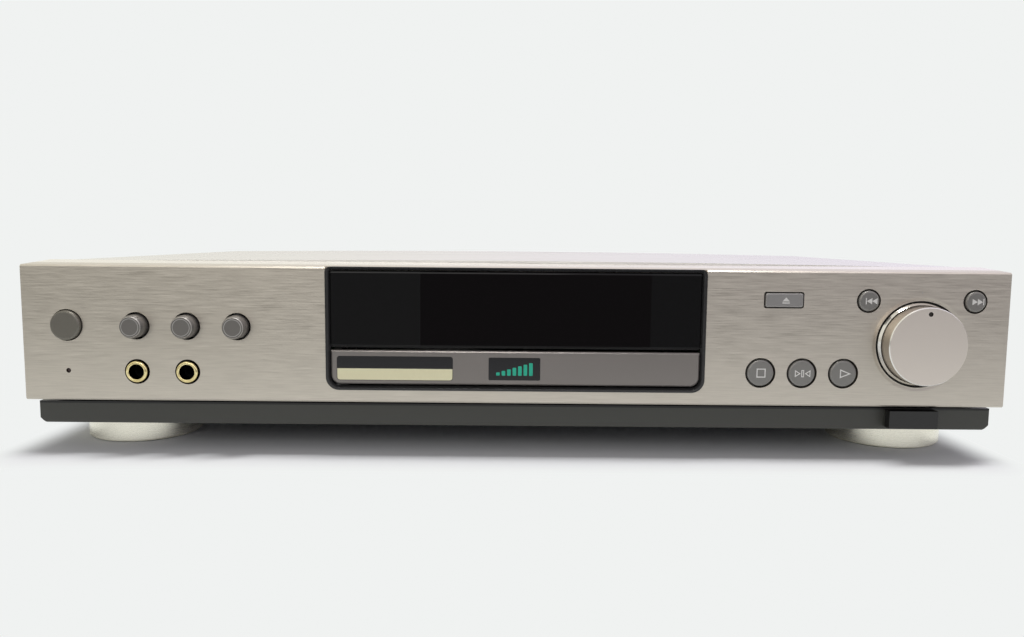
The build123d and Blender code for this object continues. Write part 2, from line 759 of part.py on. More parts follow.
def rear_panel():
    top = COVER_SIDE_Z - SHEET_T - COVER_GAP
    panel = block(-PAN_HALF_W, PAN_HALF_W, BACK_Y, BODY_D, BASE_Z, top)
    cuts = []
    for z in (SOCKET_LOW_Z, SOCKET_HIGH_Z):
        cuts += [rod_y(x, z, PHONO_R + PANEL_HOLE_GAP, BACK_Y - 1, BODY_D + 1) for x in SOCKET_XS]
        cuts.append(rod_y(MINI_DIN_X, z, MINI_DIN_R + LOOSE_GAP, BACK_Y - 1, BODY_D + 1))
    wide = INLET_HALF_W + LOOSE_GAP
    tall = INLET_HALF_H + LOOSE_GAP
    cuts.append(block(INLET_X - wide, INLET_X + wide, BACK_Y - 1, BODY_D + 1,
                      INLET_Z - tall, INLET_Z + tall))
    for index in range(VENT_COUNT):
        x = (index - (VENT_COUNT - 1) / 2) * VENT_PITCH - LOADER_HALF_W
        cuts.append(slab_y(Pos(x, (SOCKET_HIGH_Z + top) / 2) * Rot(0, 0, 90)
                           * SlotOverall(REAR_VENT_L, VENT_W), BACK_Y - 1, BODY_D + 1))
    cuts += [rod_y(x, REAR_SCREW_Z, SCREW_HOLE_R, BACK_Y - 1, BODY_D + 1) for x in REAR_SCREW_XS]
    cuts += [rod_y(x, COVER_SCREW_Z, SCREW_HOLE_R, BACK_Y - 1, BODY_D + 1) for x in COVER_SCREW_XS]
    return panel - cuts


def screw():
    """Pan-head screw: its head stands on Z = 0 and its shank runs down."""
    head = Pos(0, 0, SCREW_HEAD_T / 2) * Cylinder(SCREW_HEAD_R, SCREW_HEAD_T)
    head = fillet(head.edges().group_by(Axis.Z)[-1], 0.5 * SCREW_HEAD_T)
    shank = Pos(0, 0, -SCREW_L / 2) * Cylinder(SCREW_R, SCREW_L)
    cross = Box(CROSS_L, CROSS_W, 2 * CROSS_DEPTH) + Box(CROSS_W, CROSS_L, 2 * CROSS_DEPTH)
    return head + shank - Pos(0, 0, SCREW_HEAD_T) * cross


def case_screws():
    seat_x = COVER_HALF_W - DIMPLE_DEPTH
    foot_seat_z = BASE_Z - FOOT_SCREW_DEPTH
    places = [Pos(side * seat_x, y, SIDE_SCREW_Z) * Rot(0, side * 90, 0)
              for side in (-1, 1) for y in SIDE_SCREW_YS]
    places += [Pos(x, BODY_D + SHEET_T, COVER_SCREW_Z) * Rot(-90, 0, 0) for x in COVER_SCREW_XS]
    places += [Pos(x, BODY_D, REAR_SCREW_Z) * Rot(-90, 0, 0) for x in REAR_SCREW_XS]
    places += [Pos(x, y, foot_seat_z) * Rot(180, 0, 0) for x, y in FEET]
    places += [Pos(x, y, LOADER_FLOOR_Z) for x, y in EARS]
    return group([place * screw() for place in places])


def plinth_trim():
    half = HALF_W - PLINTH_INSET
    face = rectangle(-half, half, BASE_Z, BASE_Z + PLINTH_H)
    face = chamfer(face.vertices().group_by(Axis.Y)[0], PLINTH_CORNER)
    trim = slab_y(face, PLINTH_SET_BACK, PAN_FRONT_Y)
    lower = trim.faces().sort_by(Axis.Y)[0].edges().filter_by(Axis.X).sort_by(Axis.Z)[0]
    trim = fillet(lower, PLINTH_EDGE)
    trim -= block(PLINTH_CORNER + PLINTH_WALL - half, half - PLINTH_CORNER - PLINTH_WALL,
                  PLINTH_SET_BACK + PLINTH_WALL, PAN_FRONT_Y + 1,
                  BASE_Z + PLINTH_WALL, BASE_Z + PLINTH_H - PLINTH_WALL)
    badge_x = HALF_W - BADGE_FROM_END
    badge_z = BASE_Z + (PLINTH_H + PLINTH_EDGE) / 2
    return trim + block(badge_x - BADGE_W / 2, badge_x + BADGE_W / 2,
                        PLINTH_SET_BACK - BADGE_PROUD, PLINTH_SET_BACK + 1,
                        badge_z - BADGE_H / 2, badge_z + BADGE_H / 2)


def foot_shell(x, y):
    """Turned foot with a recess for its pad and a deep hole for its screw."""
    recess_z = PAD_T
    seat_z = BASE_Z - FOOT_SCREW_DEPTH
    head_r = SCREW_HEAD_R + FOOT_HEAD_GAP
    hole_r = SCREW_HOLE_R + FOOT_HOLE_GAP
    recess_r = PAD_R + LOOSE_GAP
    return turned_z(x, y, [(hole_r, BASE_Z), (FOOT_R, BASE_Z), (FOOT_R, PAD_PROUD + FOOT_EDGE),
                           (FOOT_R - FOOT_EDGE, PAD_PROUD), (recess_r, PAD_PROUD),
                           (recess_r, recess_z), (head_r, recess_z), (head_r, seat_z),
                           (hole_r, seat_z)])


def foot_shells():
    return group([foot_shell(x, y) for x, y in FEET])


def foot_pads():
    return group([rod_z(x, y, PAD_R, 0, PAD_T) - rod_z(x, y, PAD_HOLE_R, -1, PAD_T + 1)
                  for x, y in FEET])


# Front panel and frame

def round_holes(y0, y1):
    """The round holes for caps, knobs, sockets and the lamp, through panel and frame alike."""
    places = [(POWER_X, POWER_H, POWER_R + POWER_GAP), (POWER_X, LAMP_H, LAMP_R + LAMP_GAP)]
    places += [(x, KNOB_H, KNOB_R + KNOB_GAP) for x in KNOB_XS]
    places += [(x, JACK_H, JACK_RING_R + JACK_HOLE_GAP) for x in JACK_XS]
    places += [(x, TRANSPORT_H, TRANSPORT_HOLE_R) for x in (STOP_X, PAUSE_X, PLAY_X)]
    places += [(x, SKIP_H, SKIP_R + SKIP_GAP) for x in (SKIP_BACK_X, SKIP_FORWARD_X)]
    return [rod_y(x, up(h), r, y0, y1) for x, h, r in places]


def eject_hole(y0, y1):
    face = RectangleRounded(EJECT_W + 2 * EJECT_GAP, EJECT_TALL + 2 * EJECT_GAP,
                            EJECT_CORNER + EJECT_GAP / 2)
    return slab_y(Pos(EJECT_X, up(EJECT_H)) * face, y0, y1)


def surround_face(grow):
    """Outline of the window surround, grown by a clearance."""
    half = SURROUND_HALF_W + grow
    face = rectangle(-half, half, up(SURROUND_LOW_H) - grow, PANEL_TOP_Z + SURROUND_TOP_RISE)
    face = fillet(face.vertices().group_by(Axis.Y)[0], SURROUND_CORNER)
    return face


def fascia_panel():
    low = PANEL_CLEAR
    high = PANEL_TOP_Z
    profile = outline([(PANEL_EDGE, low), (0, low + PANEL_EDGE), (0, high - PANEL_EDGE),
                       (PANEL_EDGE, high), (RETURN_D, high + RETURN_RISE),
                       (RETURN_D, high + RETURN_RISE - RETURN_T), (PANEL_T, high - RETURN_T),
                       (PANEL_T, low + RETURN_T), (LOWER_RETURN_D, low + RETURN_T),
                       (LOWER_RETURN_D, low)])
    panel = slab_x(profile, -HALF_W, HALF_W)
    half = SURROUND_HALF_W + LOOSE_GAP
    notch = slab_y(surround_face(LOOSE_GAP), -1, PANEL_T + LOOSE_GAP)
    top_notch = block(-half, half, -1, PANEL_T + LOOSE_GAP, high - RETURN_T, high + RETURN_RISE + 1)
    dish = turned_y(DIAL_X, up(DIAL_H), [(0, DISH_DEPTH), (DISH_FLOOR_R, DISH_DEPTH),
                                        (DISH_R, 0), (DISH_R, -1), (0, -1)])
    dial_hole = rod_y(DIAL_X, up(DIAL_H), DIAL_FLANGE_R + DIAL_GAP, -1, PANEL_T + 1)
    cuts = round_holes(-1, PANEL_T + 1)
    return panel - (cuts + [notch, top_notch, dish, dial_hole, eject_hole(-1, PANEL_T + 1)])


def boss_places():
    """Pillars on the frame that carry the front board, clear of every control."""
    high = PANEL_H - BOSS_HIGH_DROP
    low = BOSS_LOW_H
    beside = SURROUND_HALF_W + BOSS_BESIDE_WINDOW
    return [(POWER_X + BOSS_BESIDE_POWER, high), (-beside, high), (beside, high), (DIAL_X, high),
            (POWER_X - BOSS_POWER_STEP, low), (-beside - BOSS_LEFT_STEP, low), (beside, low),
            (DIAL_X, low)]


def fascia_frame():
    half = HALF_W - FRAME_END_INSET
    low = PANEL_CLEAR + RETURN_T + FRAME_PANEL_GAP
    high = PANEL_TOP_Z - RETURN_T - FRAME_PANEL_GAP
    pieces = [block(-half, half, FRAME_Y, FRAME_LOWER_D, low, low + FRAME_WALL),
              block(-half, half, FRAME_Y, FRAME_D, high - FRAME_WALL, high)]
    for side in (-1, 1):
        x0, x1 = sorted((side * half, side * (half - FRAME_END_WALL)))
        pieces.append(block(x0, x1, FRAME_Y, FRAME_D, low, high))
    pieces += [rod_y(x, up(h), BOSS_R, FRAME_Y, BOARD_Y) for x, h in boss_places()]
    tray_half = TRAY_FRONT_HALF_W + TRAY_OPENING_GAP
    tray_gap = TRAY_OPENING_GAP
    window_half = WINDOW_OPENING_HALF_W - WINDOW_SEAT
    cuts = round_holes(PANEL_T - 1, FRAME_Y + 1)
    cuts.append(eject_hole(PANEL_T - 1, FRAME_Y + 1))
    cuts.append(rod_y(DIAL_X, up(DIAL_H), DIAL_HUB_R + DIAL_GAP, PANEL_T - 1, FRAME_Y + 1))
    cuts.append(block(-tray_half, tray_half, PANEL_T - 1, FRAME_Y + 1,
                      up(TRAY_FRONT_LOW_H) - tray_gap, up(TRAY_FRONT_HIGH_H) + tray_gap))
    cuts.append(block(-window_half, window_half, PANEL_T - 1, FRAME_Y + 1,
                      up(WINDOW_LOW_H) + WINDOW_SEAT, high - FRAME_WALL))
    return block(-half, half, PANEL_T, FRAME_Y, low, high) - cuts + pieces


def display_surround():
    face = surround_face(0)
    face = fillet(face.vertices().group_by(Axis.Y)[-1], SURROUND_TOP_CORNER)
    frame = slab_y(face, -SURROUND_PROUD, PANEL_T)
    half = WINDOW_OPENING_HALF_W
    opening = rectangle(-half, half, up(TRAY_FRONT_LOW_H) - TRAY_OPENING_GAP,
                        PANEL_TOP_Z + SURROUND_TOP_RISE - SURROUND_TOP)
    opening = fillet(opening.vertices().group_by(Axis.Y)[0], TRAY_FRONT_CORNER)
    frame -= slab_y(opening, -SURROUND_PROUD - 1, PANEL_T + 1)
    rim = frame.faces().sort_by(Axis.Y)[0].inner_wires()[0]
    return chamfer(rim.edges(), SURROUND_PROUD * 0.9, SURROUND_BEVEL)


def display_window():
    half = WINDOW_OPENING_HALF_W - WINDOW_GAP
    top = PANEL_TOP_Z + SURROUND_TOP_RISE - SURROUND_TOP - LOOSE_GAP
    pane = block(-half, half, -WINDOW_PROUD, PANEL_T, up(WINDOW_LOW_H), top)
    front = pane.faces().sort_by(Axis.Y)[0].edges().filter_by(Axis.X)
    pane = fillet(front.sort_by(Axis.Z)[-1], WINDOW_EDGE)
    low = pane.faces().sort_by(Axis.Y)[0].edges().filter_by(Axis.X).sort_by(Axis.Z)[0]
    return fillet(low, WINDOW_EDGE / 3)


def tray_front():
    half = TRAY_FRONT_HALF_W
    face = rectangle(-half, half, up(TRAY_FRONT_LOW_H), up(TRAY_FRONT_HIGH_H))
    face = fillet(face.vertices().group_by(Axis.Y)[0], TRAY_FRONT_CORNER)
    plate = slab_y(face, -TRAY_FRONT_PROUD, TRAY_FRONT_BACK_Y)
    return chamfer(plate.faces().sort_by(Axis.Y)[0].edges(), TRAY_FRONT_EDGE)


# Buttons and knobs

def button_back(x, z, flange, travel):
    """Retaining flange behind the frame plate and the stem that pushes the switch."""
    flange_y = FRAME_Y + SEAT_GAP
    end_y = SWITCH_TIP_Y - travel - SWITCH_REST_GAP
    plate = slab_y(Pos(x, z) * flange, flange_y, flange_y + BUTTON_FLANGE_T)
    return plate + rod_y(x, z, STEM_R, flange_y, end_y)


def round_button(x, h, r, gap, proud, travel):
    z = up(h)
    cap = rod_y(x, z, r, -proud, FRAME_Y + SEAT_GAP + BUTTON_FLANGE_T)
    cap = fillet(cap.edges().group_by(Axis.Y)[0], BUTTON_EDGE)
    return cap + button_back(x, z, Circle(r + gap + FLANGE_OVERLAP), travel)


def eject_button():
    z = up(EJECT_H)
    cap = slab_y(Pos(EJECT_X, z) * RectangleRounded(EJECT_W, EJECT_TALL, EJECT_CORNER),
                 -SKIP_PROUD, FRAME_Y + SEAT_GAP + BUTTON_FLANGE_T)
    cap = fillet(cap.edges().group_by(Axis.Y)[0], 0.6 * BUTTON_EDGE)
    grow = 2 * (EJECT_GAP + FLANGE_OVERLAP)
    flange = Rectangle(EJECT_W + grow, EJECT_TALL + grow)
    return cap + button_back(EJECT_X, z, flange, BUTTON_TRAVEL)


def knob(x, h, mark_deg):
    """Turned knob on a shaft, with an index notch at mark_deg clockwise from the top."""
    z = up(h)
    back_y = PANEL_T + KNOB_BACK_GAP
    body = turned_y(x, z, [(0, -KNOB_PROUD), (KNOB_FACE_R, -KNOB_PROUD),
                           (KNOB_R, -KNOB_PROUD + KNOB_CHAMFER), (KNOB_R, back_y),
                           (SHAFT_R, back_y), (SHAFT_R, SHAFT_END_Y), (0, SHAFT_END_Y)])
    shoulder_y = -KNOB_PROUD + KNOB_CHAMFER
    notch = outline([(-KNOB_PROUD - 1, KNOB_FACE_R - KNOB_NOTCH_DEPTH),
                     (-KNOB_PROUD, KNOB_FACE_R - KNOB_NOTCH_DEPTH),
                     (shoulder_y, KNOB_R - KNOB_NOTCH_DEPTH), (shoulder_y, KNOB_R + 1),
                     (-KNOB_PROUD - 1, KNOB_R + 1)])
    notch = slab_x(notch, -KNOB_NOTCH_W / 2, KNOB_NOTCH_W / 2)
    return body - Pos(x, 0, z) * Rot(0, mark_deg, 0) * notch


def search_dial():
    z = up(DIAL_H)
    hub_end = ENCODER_FRONT_Y - SEAT_GAP
    body = turned_y(DIAL_X, z, [(0, -DIAL_PROUD), (DIAL_FACE_R - DIAL_BEVEL, -DIAL_PROUD),
                                (DIAL_FACE_R, -DIAL_PROUD + DIAL_BEVEL),
                                (DIAL_R, -DIAL_FLANGE_T), (DIAL_FLANGE_R, 0),
                                (DIAL_FLANGE_R, DIAL_BACK_Y), (DIAL_HUB_R, DIAL_BACK_Y),
                                (DIAL_HUB_R, hub_end), (SHAFT_R, hub_end),
                                (SHAFT_R, SHAFT_END_Y), (0, SHAFT_END_Y)])
    return body - rod_y(DIAL_X, z + DIAL_DIMPLE_OUT, DIAL_DIMPLE_R, -DIAL_PROUD - 1,
                        -DIAL_PROUD + DIAL_DIMPLE_DEPTH)


# Microphone sockets and lamp

def mic_jack(x):
    z = up(JACK_H)
    back = FRAME_Y + JACK_DEPTH
    body = block(x - JACK_HALF_W, x + JACK_HALF_W, FRAME_Y, back + JACK_BACK_WALL,
                 z - JACK_HALF_H, z + JACK_HALF_H)
    return body - rod_y(x, z, JACK_BORE_R, FRAME_Y - 1, back)


def mic_jack_ring(x):
    z = up(JACK_H)
    ring = rod_y(x, z, JACK_RING_R, -JACK_RING_PROUD, FRAME_Y)
    ring = fillet(ring.edges().group_by(Axis.Y)[0], JACK_RING_EDGE)
    ring -= rod_y(x, z, JACK_BORE_R, -JACK_RING_PROUD - 1, FRAME_Y + 1)
    inner = ring.edges().filter_by(GeomType.CIRCLE).group_by(Axis.Y)[0].sort_by(SortBy.RADIUS)[0]
    return fillet(inner, 0.5 * JACK_RING_EDGE)


def mic_jacks():
    return group([mic_jack(x) for x in JACK_XS])


def mic_jack_rings():
    return group([mic_jack_ring(x) for x in JACK_XS])


def standby_lamp():
    lens = rod_y(POWER_X, up(LAMP_H), LAMP_R, LAMP_RECESS, BOARD_Y)
    return fillet(lens.edges().group_by(Axis.Y)[0], LAMP_EDGE)


# Front board and what it carries

def front_board():
    half = BOARD_OUTER_X
    low = up(FRONT_BOARD_LOW_H)
    high = PANEL_TOP_Z - RETURN_T - FRAME_WALL - FRONT_BOARD_WALL_GAP
    board = block(-half, half, BOARD_Y, BOARD_Y + BOARD_T, low, high)
    tray_half = TRAY_FRONT_HALF_W + FRONT_BOARD_TRAY_GAP
    jack_low_x = JACK_XS[0] - JACK_HALF_W - FRONT_BOARD_JACK_GAP
    jack_high_x = JACK_XS[-1] + JACK_HALF_W + FRONT_BOARD_JACK_GAP
    board -= block(-tray_half, tray_half, BOARD_Y - 1, BOARD_Y + 3, low - 1,
                   up(TRAY_FRONT_HIGH_H) + FRONT_BOARD_TRAY_TOP_GAP)
    return board - block(jack_low_x, jack_high_x, BOARD_Y - 1, BOARD_Y + 3, low - 1,
                         up(JACK_H) + JACK_HALF_H + FRONT_BOARD_JACK_TOP_GAP)


def panel_switch(x, h):
    z = up(h)
    body = block(x - SWITCH_HALF_W, x + SWITCH_HALF_W, BOARD_Y - SWITCH_T, BOARD_Y,
                 z - SWITCH_HALF_W, z + SWITCH_HALF_W)
    return body + rod_y(x, z, PLUNGER_R, SWITCH_TIP_Y, BOARD_Y - SWITCH_T)


def panel_switches():
    places = [(POWER_X, POWER_H), (EJECT_X, EJECT_H), (SKIP_BACK_X, SKIP_H),
              (SKIP_FORWARD_X, SKIP_H)]
    places += [(x, TRANSPORT_H) for x in (STOP_X, PAUSE_X, PLAY_X)]
    return group([panel_switch(x, h) for x, h in places])


def rotary_control(x, h, half, front_y):
    """Sensor or volume control on the board, with a running bore for its shaft."""
    z = up(h)
    body = block(x - half, x + half, front_y, BOARD_Y, z - half, z + half)
    return body - rod_y(x, z, SHAFT_R + RUN_GAP, front_y - 1, SHAFT_END_Y + SEAT_GAP)


def rotary_controls():
    pots = [rotary_control(x, KNOB_H, POT_HALF_W, POT_FRONT_Y) for x in KNOB_XS]
    return group(pots + [rotary_control(DIAL_X, DIAL_H, ENCODER_HALF_W, ENCODER_FRONT_Y)])


def display_tube():
    low = up(WINDOW_LOW_H) + TUBE_MARGIN
    high = PANEL_TOP_Z - RETURN_T - FRAME_WALL - TUBE_MARGIN
    half = TUBE_W / 2
    tube = block(TUBE_X - half, TUBE_X + half, BOARD_Y - TUBE_D, BOARD_Y, low, high)
    return chamfer(tube.faces().sort_by(Axis.Y)[0].edges(), TUBE_EDGE)


# Disc tray

def disc_tray():
    half = TRAY_W / 2
    front = TRAY_FRONT_BACK_Y
    back = front + TRAY_L
    plate = block(-half, half, front, back, TRAY_Z, TRAY_TOP_Z)
    seat_z = TRAY_TOP_Z - DISC_SEAT_DEPTH
    plate -= rod_z(0, DISC_Y, DISC_SEAT_R, seat_z, TRAY_TOP_Z + 1)
    plate -= rod_z(0, DISC_Y, SMALL_DISC_R, seat_z - SMALL_DISC_DEPTH, TRAY_TOP_Z + 1)
    plate -= rod_z(0, DISC_Y, SLOT_HALF_W, TRAY_Z - 1, TRAY_TOP_Z + 1)
    plate -= block(-SLOT_HALF_W, SLOT_HALF_W, DISC_Y, back + 1, TRAY_Z - 1, TRAY_TOP_Z + 1)
    upstand = block(UPSTAND_INSET - half, half - UPSTAND_INSET, front, front + UPSTAND_T,
                    up(TRAY_FRONT_LOW_H) + UPSTAND_LOW_GAP, up(TRAY_FRONT_HIGH_H) - UPSTAND_HIGH_GAP)
    rack_y0 = front + RACK_FROM_FRONT
    rack_y1 = back - RACK_BACK
    rack_z = TRAY_Z - RACK_H
    bar = block(RACK_X, RACK_X + RACK_W, rack_y0, rack_y1, rack_z, TRAY_Z)
    teeth = rack_teeth(RACK_PITCH_X, GEAR_Y, rack_y0, rack_y1, rack_z, TRAY_Z, TRAY_MODULE)
    return plate + [upstand, bar] + teeth


# Loading mechanism

def loader_chassis():
    half = LOADER_HALF_W
    floor = block(-half, half, LOADER_FRONT_Y, LOADER_BACK_Y, LOADER_Z, LOADER_FLOOR_Z)
    floor -= block(-BAY_HALF_W, BAY_HALF_W, BAY_FRONT_Y, BAY_BACK_Y, LOADER_Z - 1,
                   LOADER_FLOOR_Z + 1)
    pieces = []
    ledge_top = TRAY_Z - SEAT_GAP
    guide_low = TRAY_TOP_Z + SEAT_GAP
    for side in (-1, 1):
        x0, x1 = sorted((side * LOADER_INNER, side * half))
        pieces.append(block(x0, x1, LOADER_FRONT_Y, LOADER_BACK_Y, LOADER_Z, LOADER_TOP_Z))
        x0, x1 = sorted((side * (LOADER_INNER - LEDGE_W), side * half))
        pieces.append(block(x0, x1, LOADER_FRONT_Y, LOADER_BACK_Y, ledge_top - LEDGE_T, ledge_top))
        for y in (LOADER_FRONT_Y + GUIDE_FROM_FRONT, HINGE_Y):
            pieces.append(block(x0, x1, y, y + GUIDE_L, guide_low, guide_low + GUIDE_T))
        inner = TRAVERSE_HALF_W + HINGE_SIDE_GAP
        x0, x1 = sorted((side * inner, side * (inner + HINGE_BRACKET_T)))
        bracket = block(x0, x1, HINGE_Y - HINGE_BRACKET_FRONT, BAY_BACK_Y + LOADER_FLOOR_T, LOADER_Z,
                        HINGE_Z + HINGE_BRACKET_RISE)
        pieces.append(bracket - rod_x(HINGE_Y, HINGE_Z, HINGE_R + RUN_GAP, x0 - 1, x1 + 1))
        for x in (side * CAM_GUIDE_INNER_X, side * CAM_GUIDE_OUTER_X):
            for y in (CAM_Y - SEAT_GAP - CAM_GUIDE_T, CAM_Y + CAM_T + SEAT_GAP):
                pieces.append(block(x - CAM_GUIDE_L / 2, x + CAM_GUIDE_L / 2, y, y + CAM_GUIDE_T,
                                    LOADER_Z, LOADER_FLOOR_Z + CAM_GUIDE_H))
    for x, y in EARS:
        inner_x = (abs(x) - EAR_W / 2 - 1) * (1 if x > 0 else -1)
        outer_x = (abs(x) + EAR_W / 2) * (1 if x > 0 else -1)
        x0, x1 = sorted((inner_x, outer_x))
        ear = block(x0, x1, y - EAR_L / 2, y + EAR_L / 2, LOADER_Z, LOADER_FLOOR_Z)
        pieces.append(ear - rod_z(x, y, SCREW_HOLE_R, LOADER_Z - 1, LOADER_FLOOR_Z + 1))
    pieces.append(rod_z(TRAY_GEAR_X, GEAR_Y, AXLE_R, LOADER_Z, TRAY_GEAR_TOP_Z))
    pieces.append(rod_z(TRAY_GEAR_X, GEAR_Y, AXLE_R + AXLE_SHOULDER, LOADER_Z,
                        WHEEL_Z - SEAT_GAP))
    pieces.append(rod_z(PULLEY_X, GEAR_Y, PULLEY_AXLE_R, LOADER_Z, PULLEY_TOP_Z))
    pieces.append(rod_z(PULLEY_X, GEAR_Y, PULLEY_AXLE_R + PULLEY_AXLE_SHOULDER, LOADER_Z,
                        WHEEL_Z - 2 * SEAT_GAP))
    return floor + pieces


def loader_grommets():
    return group([rod_z(x, y, GROMMET_R, PAN_Z + POST_H, LOADER_Z)
                  - rod_z(x, y, SCREW_HOLE_R, PAN_Z + POST_H - 1, LOADER_Z + 1) for x, y in EARS])


def loading_motor():
    body = rod_z(MOTOR_X, GEAR_Y, MOTOR_R, LOADER_FLOOR_Z, LOADER_FLOOR_Z + MOTOR_H)
    body = fillet(body.edges().group_by(Axis.Z)[-1], MOTOR_EDGE)
    return body + rod_z(MOTOR_X, GEAR_Y, MOTOR_SHAFT_R, LOADER_FLOOR_Z, PULLEY_TOP_Z)


def pulley_points(outer_r, bore_r):
    """Half section of a grooved pulley, centred on the belt's height."""
    half = PULLEY_T / 2
    groove_r = outer_r - GROOVE_DEPTH
    wide = BELT_T / 2 + GROOVE_MOUTH_GAP
    narrow = BELT_T / 2 + GROOVE_FLOOR_GAP
    return [(bore_r, BELT_Z - half), (outer_r, BELT_Z - half), (outer_r, BELT_Z - wide),
            (groove_r, BELT_Z - narrow), (groove_r, BELT_Z + narrow),
            (outer_r, BELT_Z + wide), (outer_r, BELT_Z + half), (bore_r, BELT_Z + half)]


def motor_pulley():
    return turned_z(MOTOR_X, GEAR_Y, pulley_points(MOTOR_PULLEY_R, MOTOR_SHAFT_R + RUN_GAP))


def pulley_gear():
    bore_r = PULLEY_AXLE_R + RUN_GAP
    wheel = turned_z(PULLEY_X, GEAR_Y, pulley_points(PULLEY_R, bore_r))
    pinion_deg = 180 + 180 / PINION_TEETH
    pinion = slab_z(gear_face(PINION_TEETH, WHEEL_MODULE, pinion_deg), WHEEL_Z - SEAT_GAP,
                    BELT_Z - PULLEY_T / 2)
    pinion = Pos(PULLEY_X, GEAR_Y, 0) * pinion
    return wheel + pinion - rod_z(PULLEY_X, GEAR_Y, bore_r, WHEEL_Z - 2, PULLEY_TOP_Z + 1)


def tray_drive_gear():
    wheel = slab_z(gear_face(WHEEL_TEETH, WHEEL_MODULE, 0), WHEEL_Z, WHEEL_Z + WHEEL_T)
    gear_low = TRAY_GEAR_TOP_Z - GEAR_T
    gear = slab_z(gear_face(TRAY_GEAR_TEETH, TRAY_MODULE, 180), gear_low, TRAY_GEAR_TOP_Z)
    hub = rod_z(0, 0, GEAR_HUB_R, WHEEL_Z, TRAY_GEAR_TOP_Z)
    bore = rod_z(0, 0, AXLE_R + RUN_GAP, WHEEL_Z - 1, TRAY_GEAR_TOP_Z + 1)
    return Pos(TRAY_GEAR_X, GEAR_Y, 0) * (wheel + gear + hub - bore)


def belt_loop(grow):
    """Outline of a belt round both pulleys, grown outwards."""
    big = Pos(PULLEY_X, GEAR_Y) * Circle(PULLEY_GROOVE_R + grow)
    small = Pos(MOTOR_X, GEAR_Y) * Circle(MOTOR_GROOVE_R + grow)
    return make_hull(big.edges() + small.edges())


def loading_belt():
    z0 = BELT_Z - BELT_T / 2
    z1 = BELT_Z + BELT_T / 2
    return slab_z(belt_loop(BELT_GAP + BELT_T), z0, z1) - slab_z(belt_loop(BELT_GAP), z0 - 1, z1 + 1)


def lift_cam():
    plate = block(-CAM_HALF_L, CAM_HALF_L, CAM_Y, CAM_Y + CAM_T, CAM_Z, CAM_TOP_Z)
    half_w = CAM_PIN_R + CAM_SLOT_GAP
    for side in (-1, 1):
        x = side * CAM_PIN_X
        track = make_hull((Pos(x, CAM_PIN_Z) * Circle(half_w)).edges()
                          + (Pos(x - CAM_TRAVEL, CAM_PIN_Z - CAM_DROP) * Circle(half_w)).edges())
        plate -= slab_y(track, CAM_Y - 1, CAM_Y + CAM_T + 1)
    return plate


# Traverse with spindle, pickup and feed

def traverse_frame():
    half = TRAVERSE_HALF_W
    deck = block(-half, half, TRAVERSE_FRONT_Y, TRAVERSE_BACK_Y, DECK_Z, DECK_TOP_Z)
    deck -= block(-WELL_HALF_W, WELL_HALF_W, WELL_FRONT_Y, WELL_BACK_Y, DECK_Z - 1, DECK_TOP_Z + 1)
    deck -= rod_z(0, DISC_Y, 2 * SPINDLE_R, DECK_Z - 1, DECK_TOP_Z + 1)
    deck -= rod_z(FEED_GEAR_X, FEED_PINION_Y, 2 * FEED_SHAFT_R, DECK_Z - 1, DECK_TOP_Z + 1)
    pieces = [rod_y(side * CAM_PIN_X, CAM_PIN_Z, CAM_PIN_R, CAM_Y - CAM_PIN_REACH, TRAVERSE_FRONT_Y + 1)
              for side in (-1, 1)]
    reach = half + HINGE_SIDE_GAP + HINGE_BRACKET_T
    pieces += [rod_x(HINGE_Y, HINGE_Z, HINGE_R, -reach, 1 - half),
               rod_x(HINGE_Y, HINGE_Z, HINGE_R, half - 1, reach)]
    axle_top = FEED_RACK_Z + FEED_RACK_T - LOOSE_GAP
    pieces.append(rod_z(FEED_GEAR_X, FEED_GEAR_Y, FEED_AXLE_R, DECK_Z, axle_top))
    return deck + pieces


def spindle_motor():
    body = rod_z(0, DISC_Y, SPINDLE_MOTOR_R, DECK_Z - SPINDLE_MOTOR_H, DECK_Z)
    body = fillet(body.edges().group_by(Axis.Z)[0], MOTOR_EDGE)
    return body + rod_z(0, DISC_Y, SPINDLE_R, DECK_Z - 1, SPINDLE_TOP_Z)


def turntable():
    bore = SPINDLE_R + RUN_GAP
    low = DISC_PLANE_Z - TURNTABLE_T
    sleeve_z = DECK_TOP_Z + SEAT_GAP
    return turned_z(0, DISC_Y, [(bore, sleeve_z), (TURNTABLE_SLEEVE_R, sleeve_z),
                                (TURNTABLE_SLEEVE_R, low), (TURNTABLE_R, low),
                                (TURNTABLE_R, DISC_PLANE_Z), (HUB_R, DISC_PLANE_Z),
                                (HUB_R - HUB_TAPER, DISC_PLANE_Z + HUB_H), (bore, DISC_PLANE_Z + HUB_H)])


def clamp_bridge():
    bridge = block(-LOADER_HALF_W, LOADER_HALF_W, DISC_Y - BRIDGE_Y_HALF, DISC_Y + BRIDGE_Y_HALF,
                   LOADER_TOP_Z, LOADER_TOP_Z + BRIDGE_T)
    bridge = fillet(bridge.edges().filter_by(Axis.Z), BRIDGE_CORNER)
    return bridge - rod_z(0, DISC_Y, BRIDGE_HOLE_R, LOADER_TOP_Z - 1, LOADER_TOP_Z + BRIDGE_T + 1)


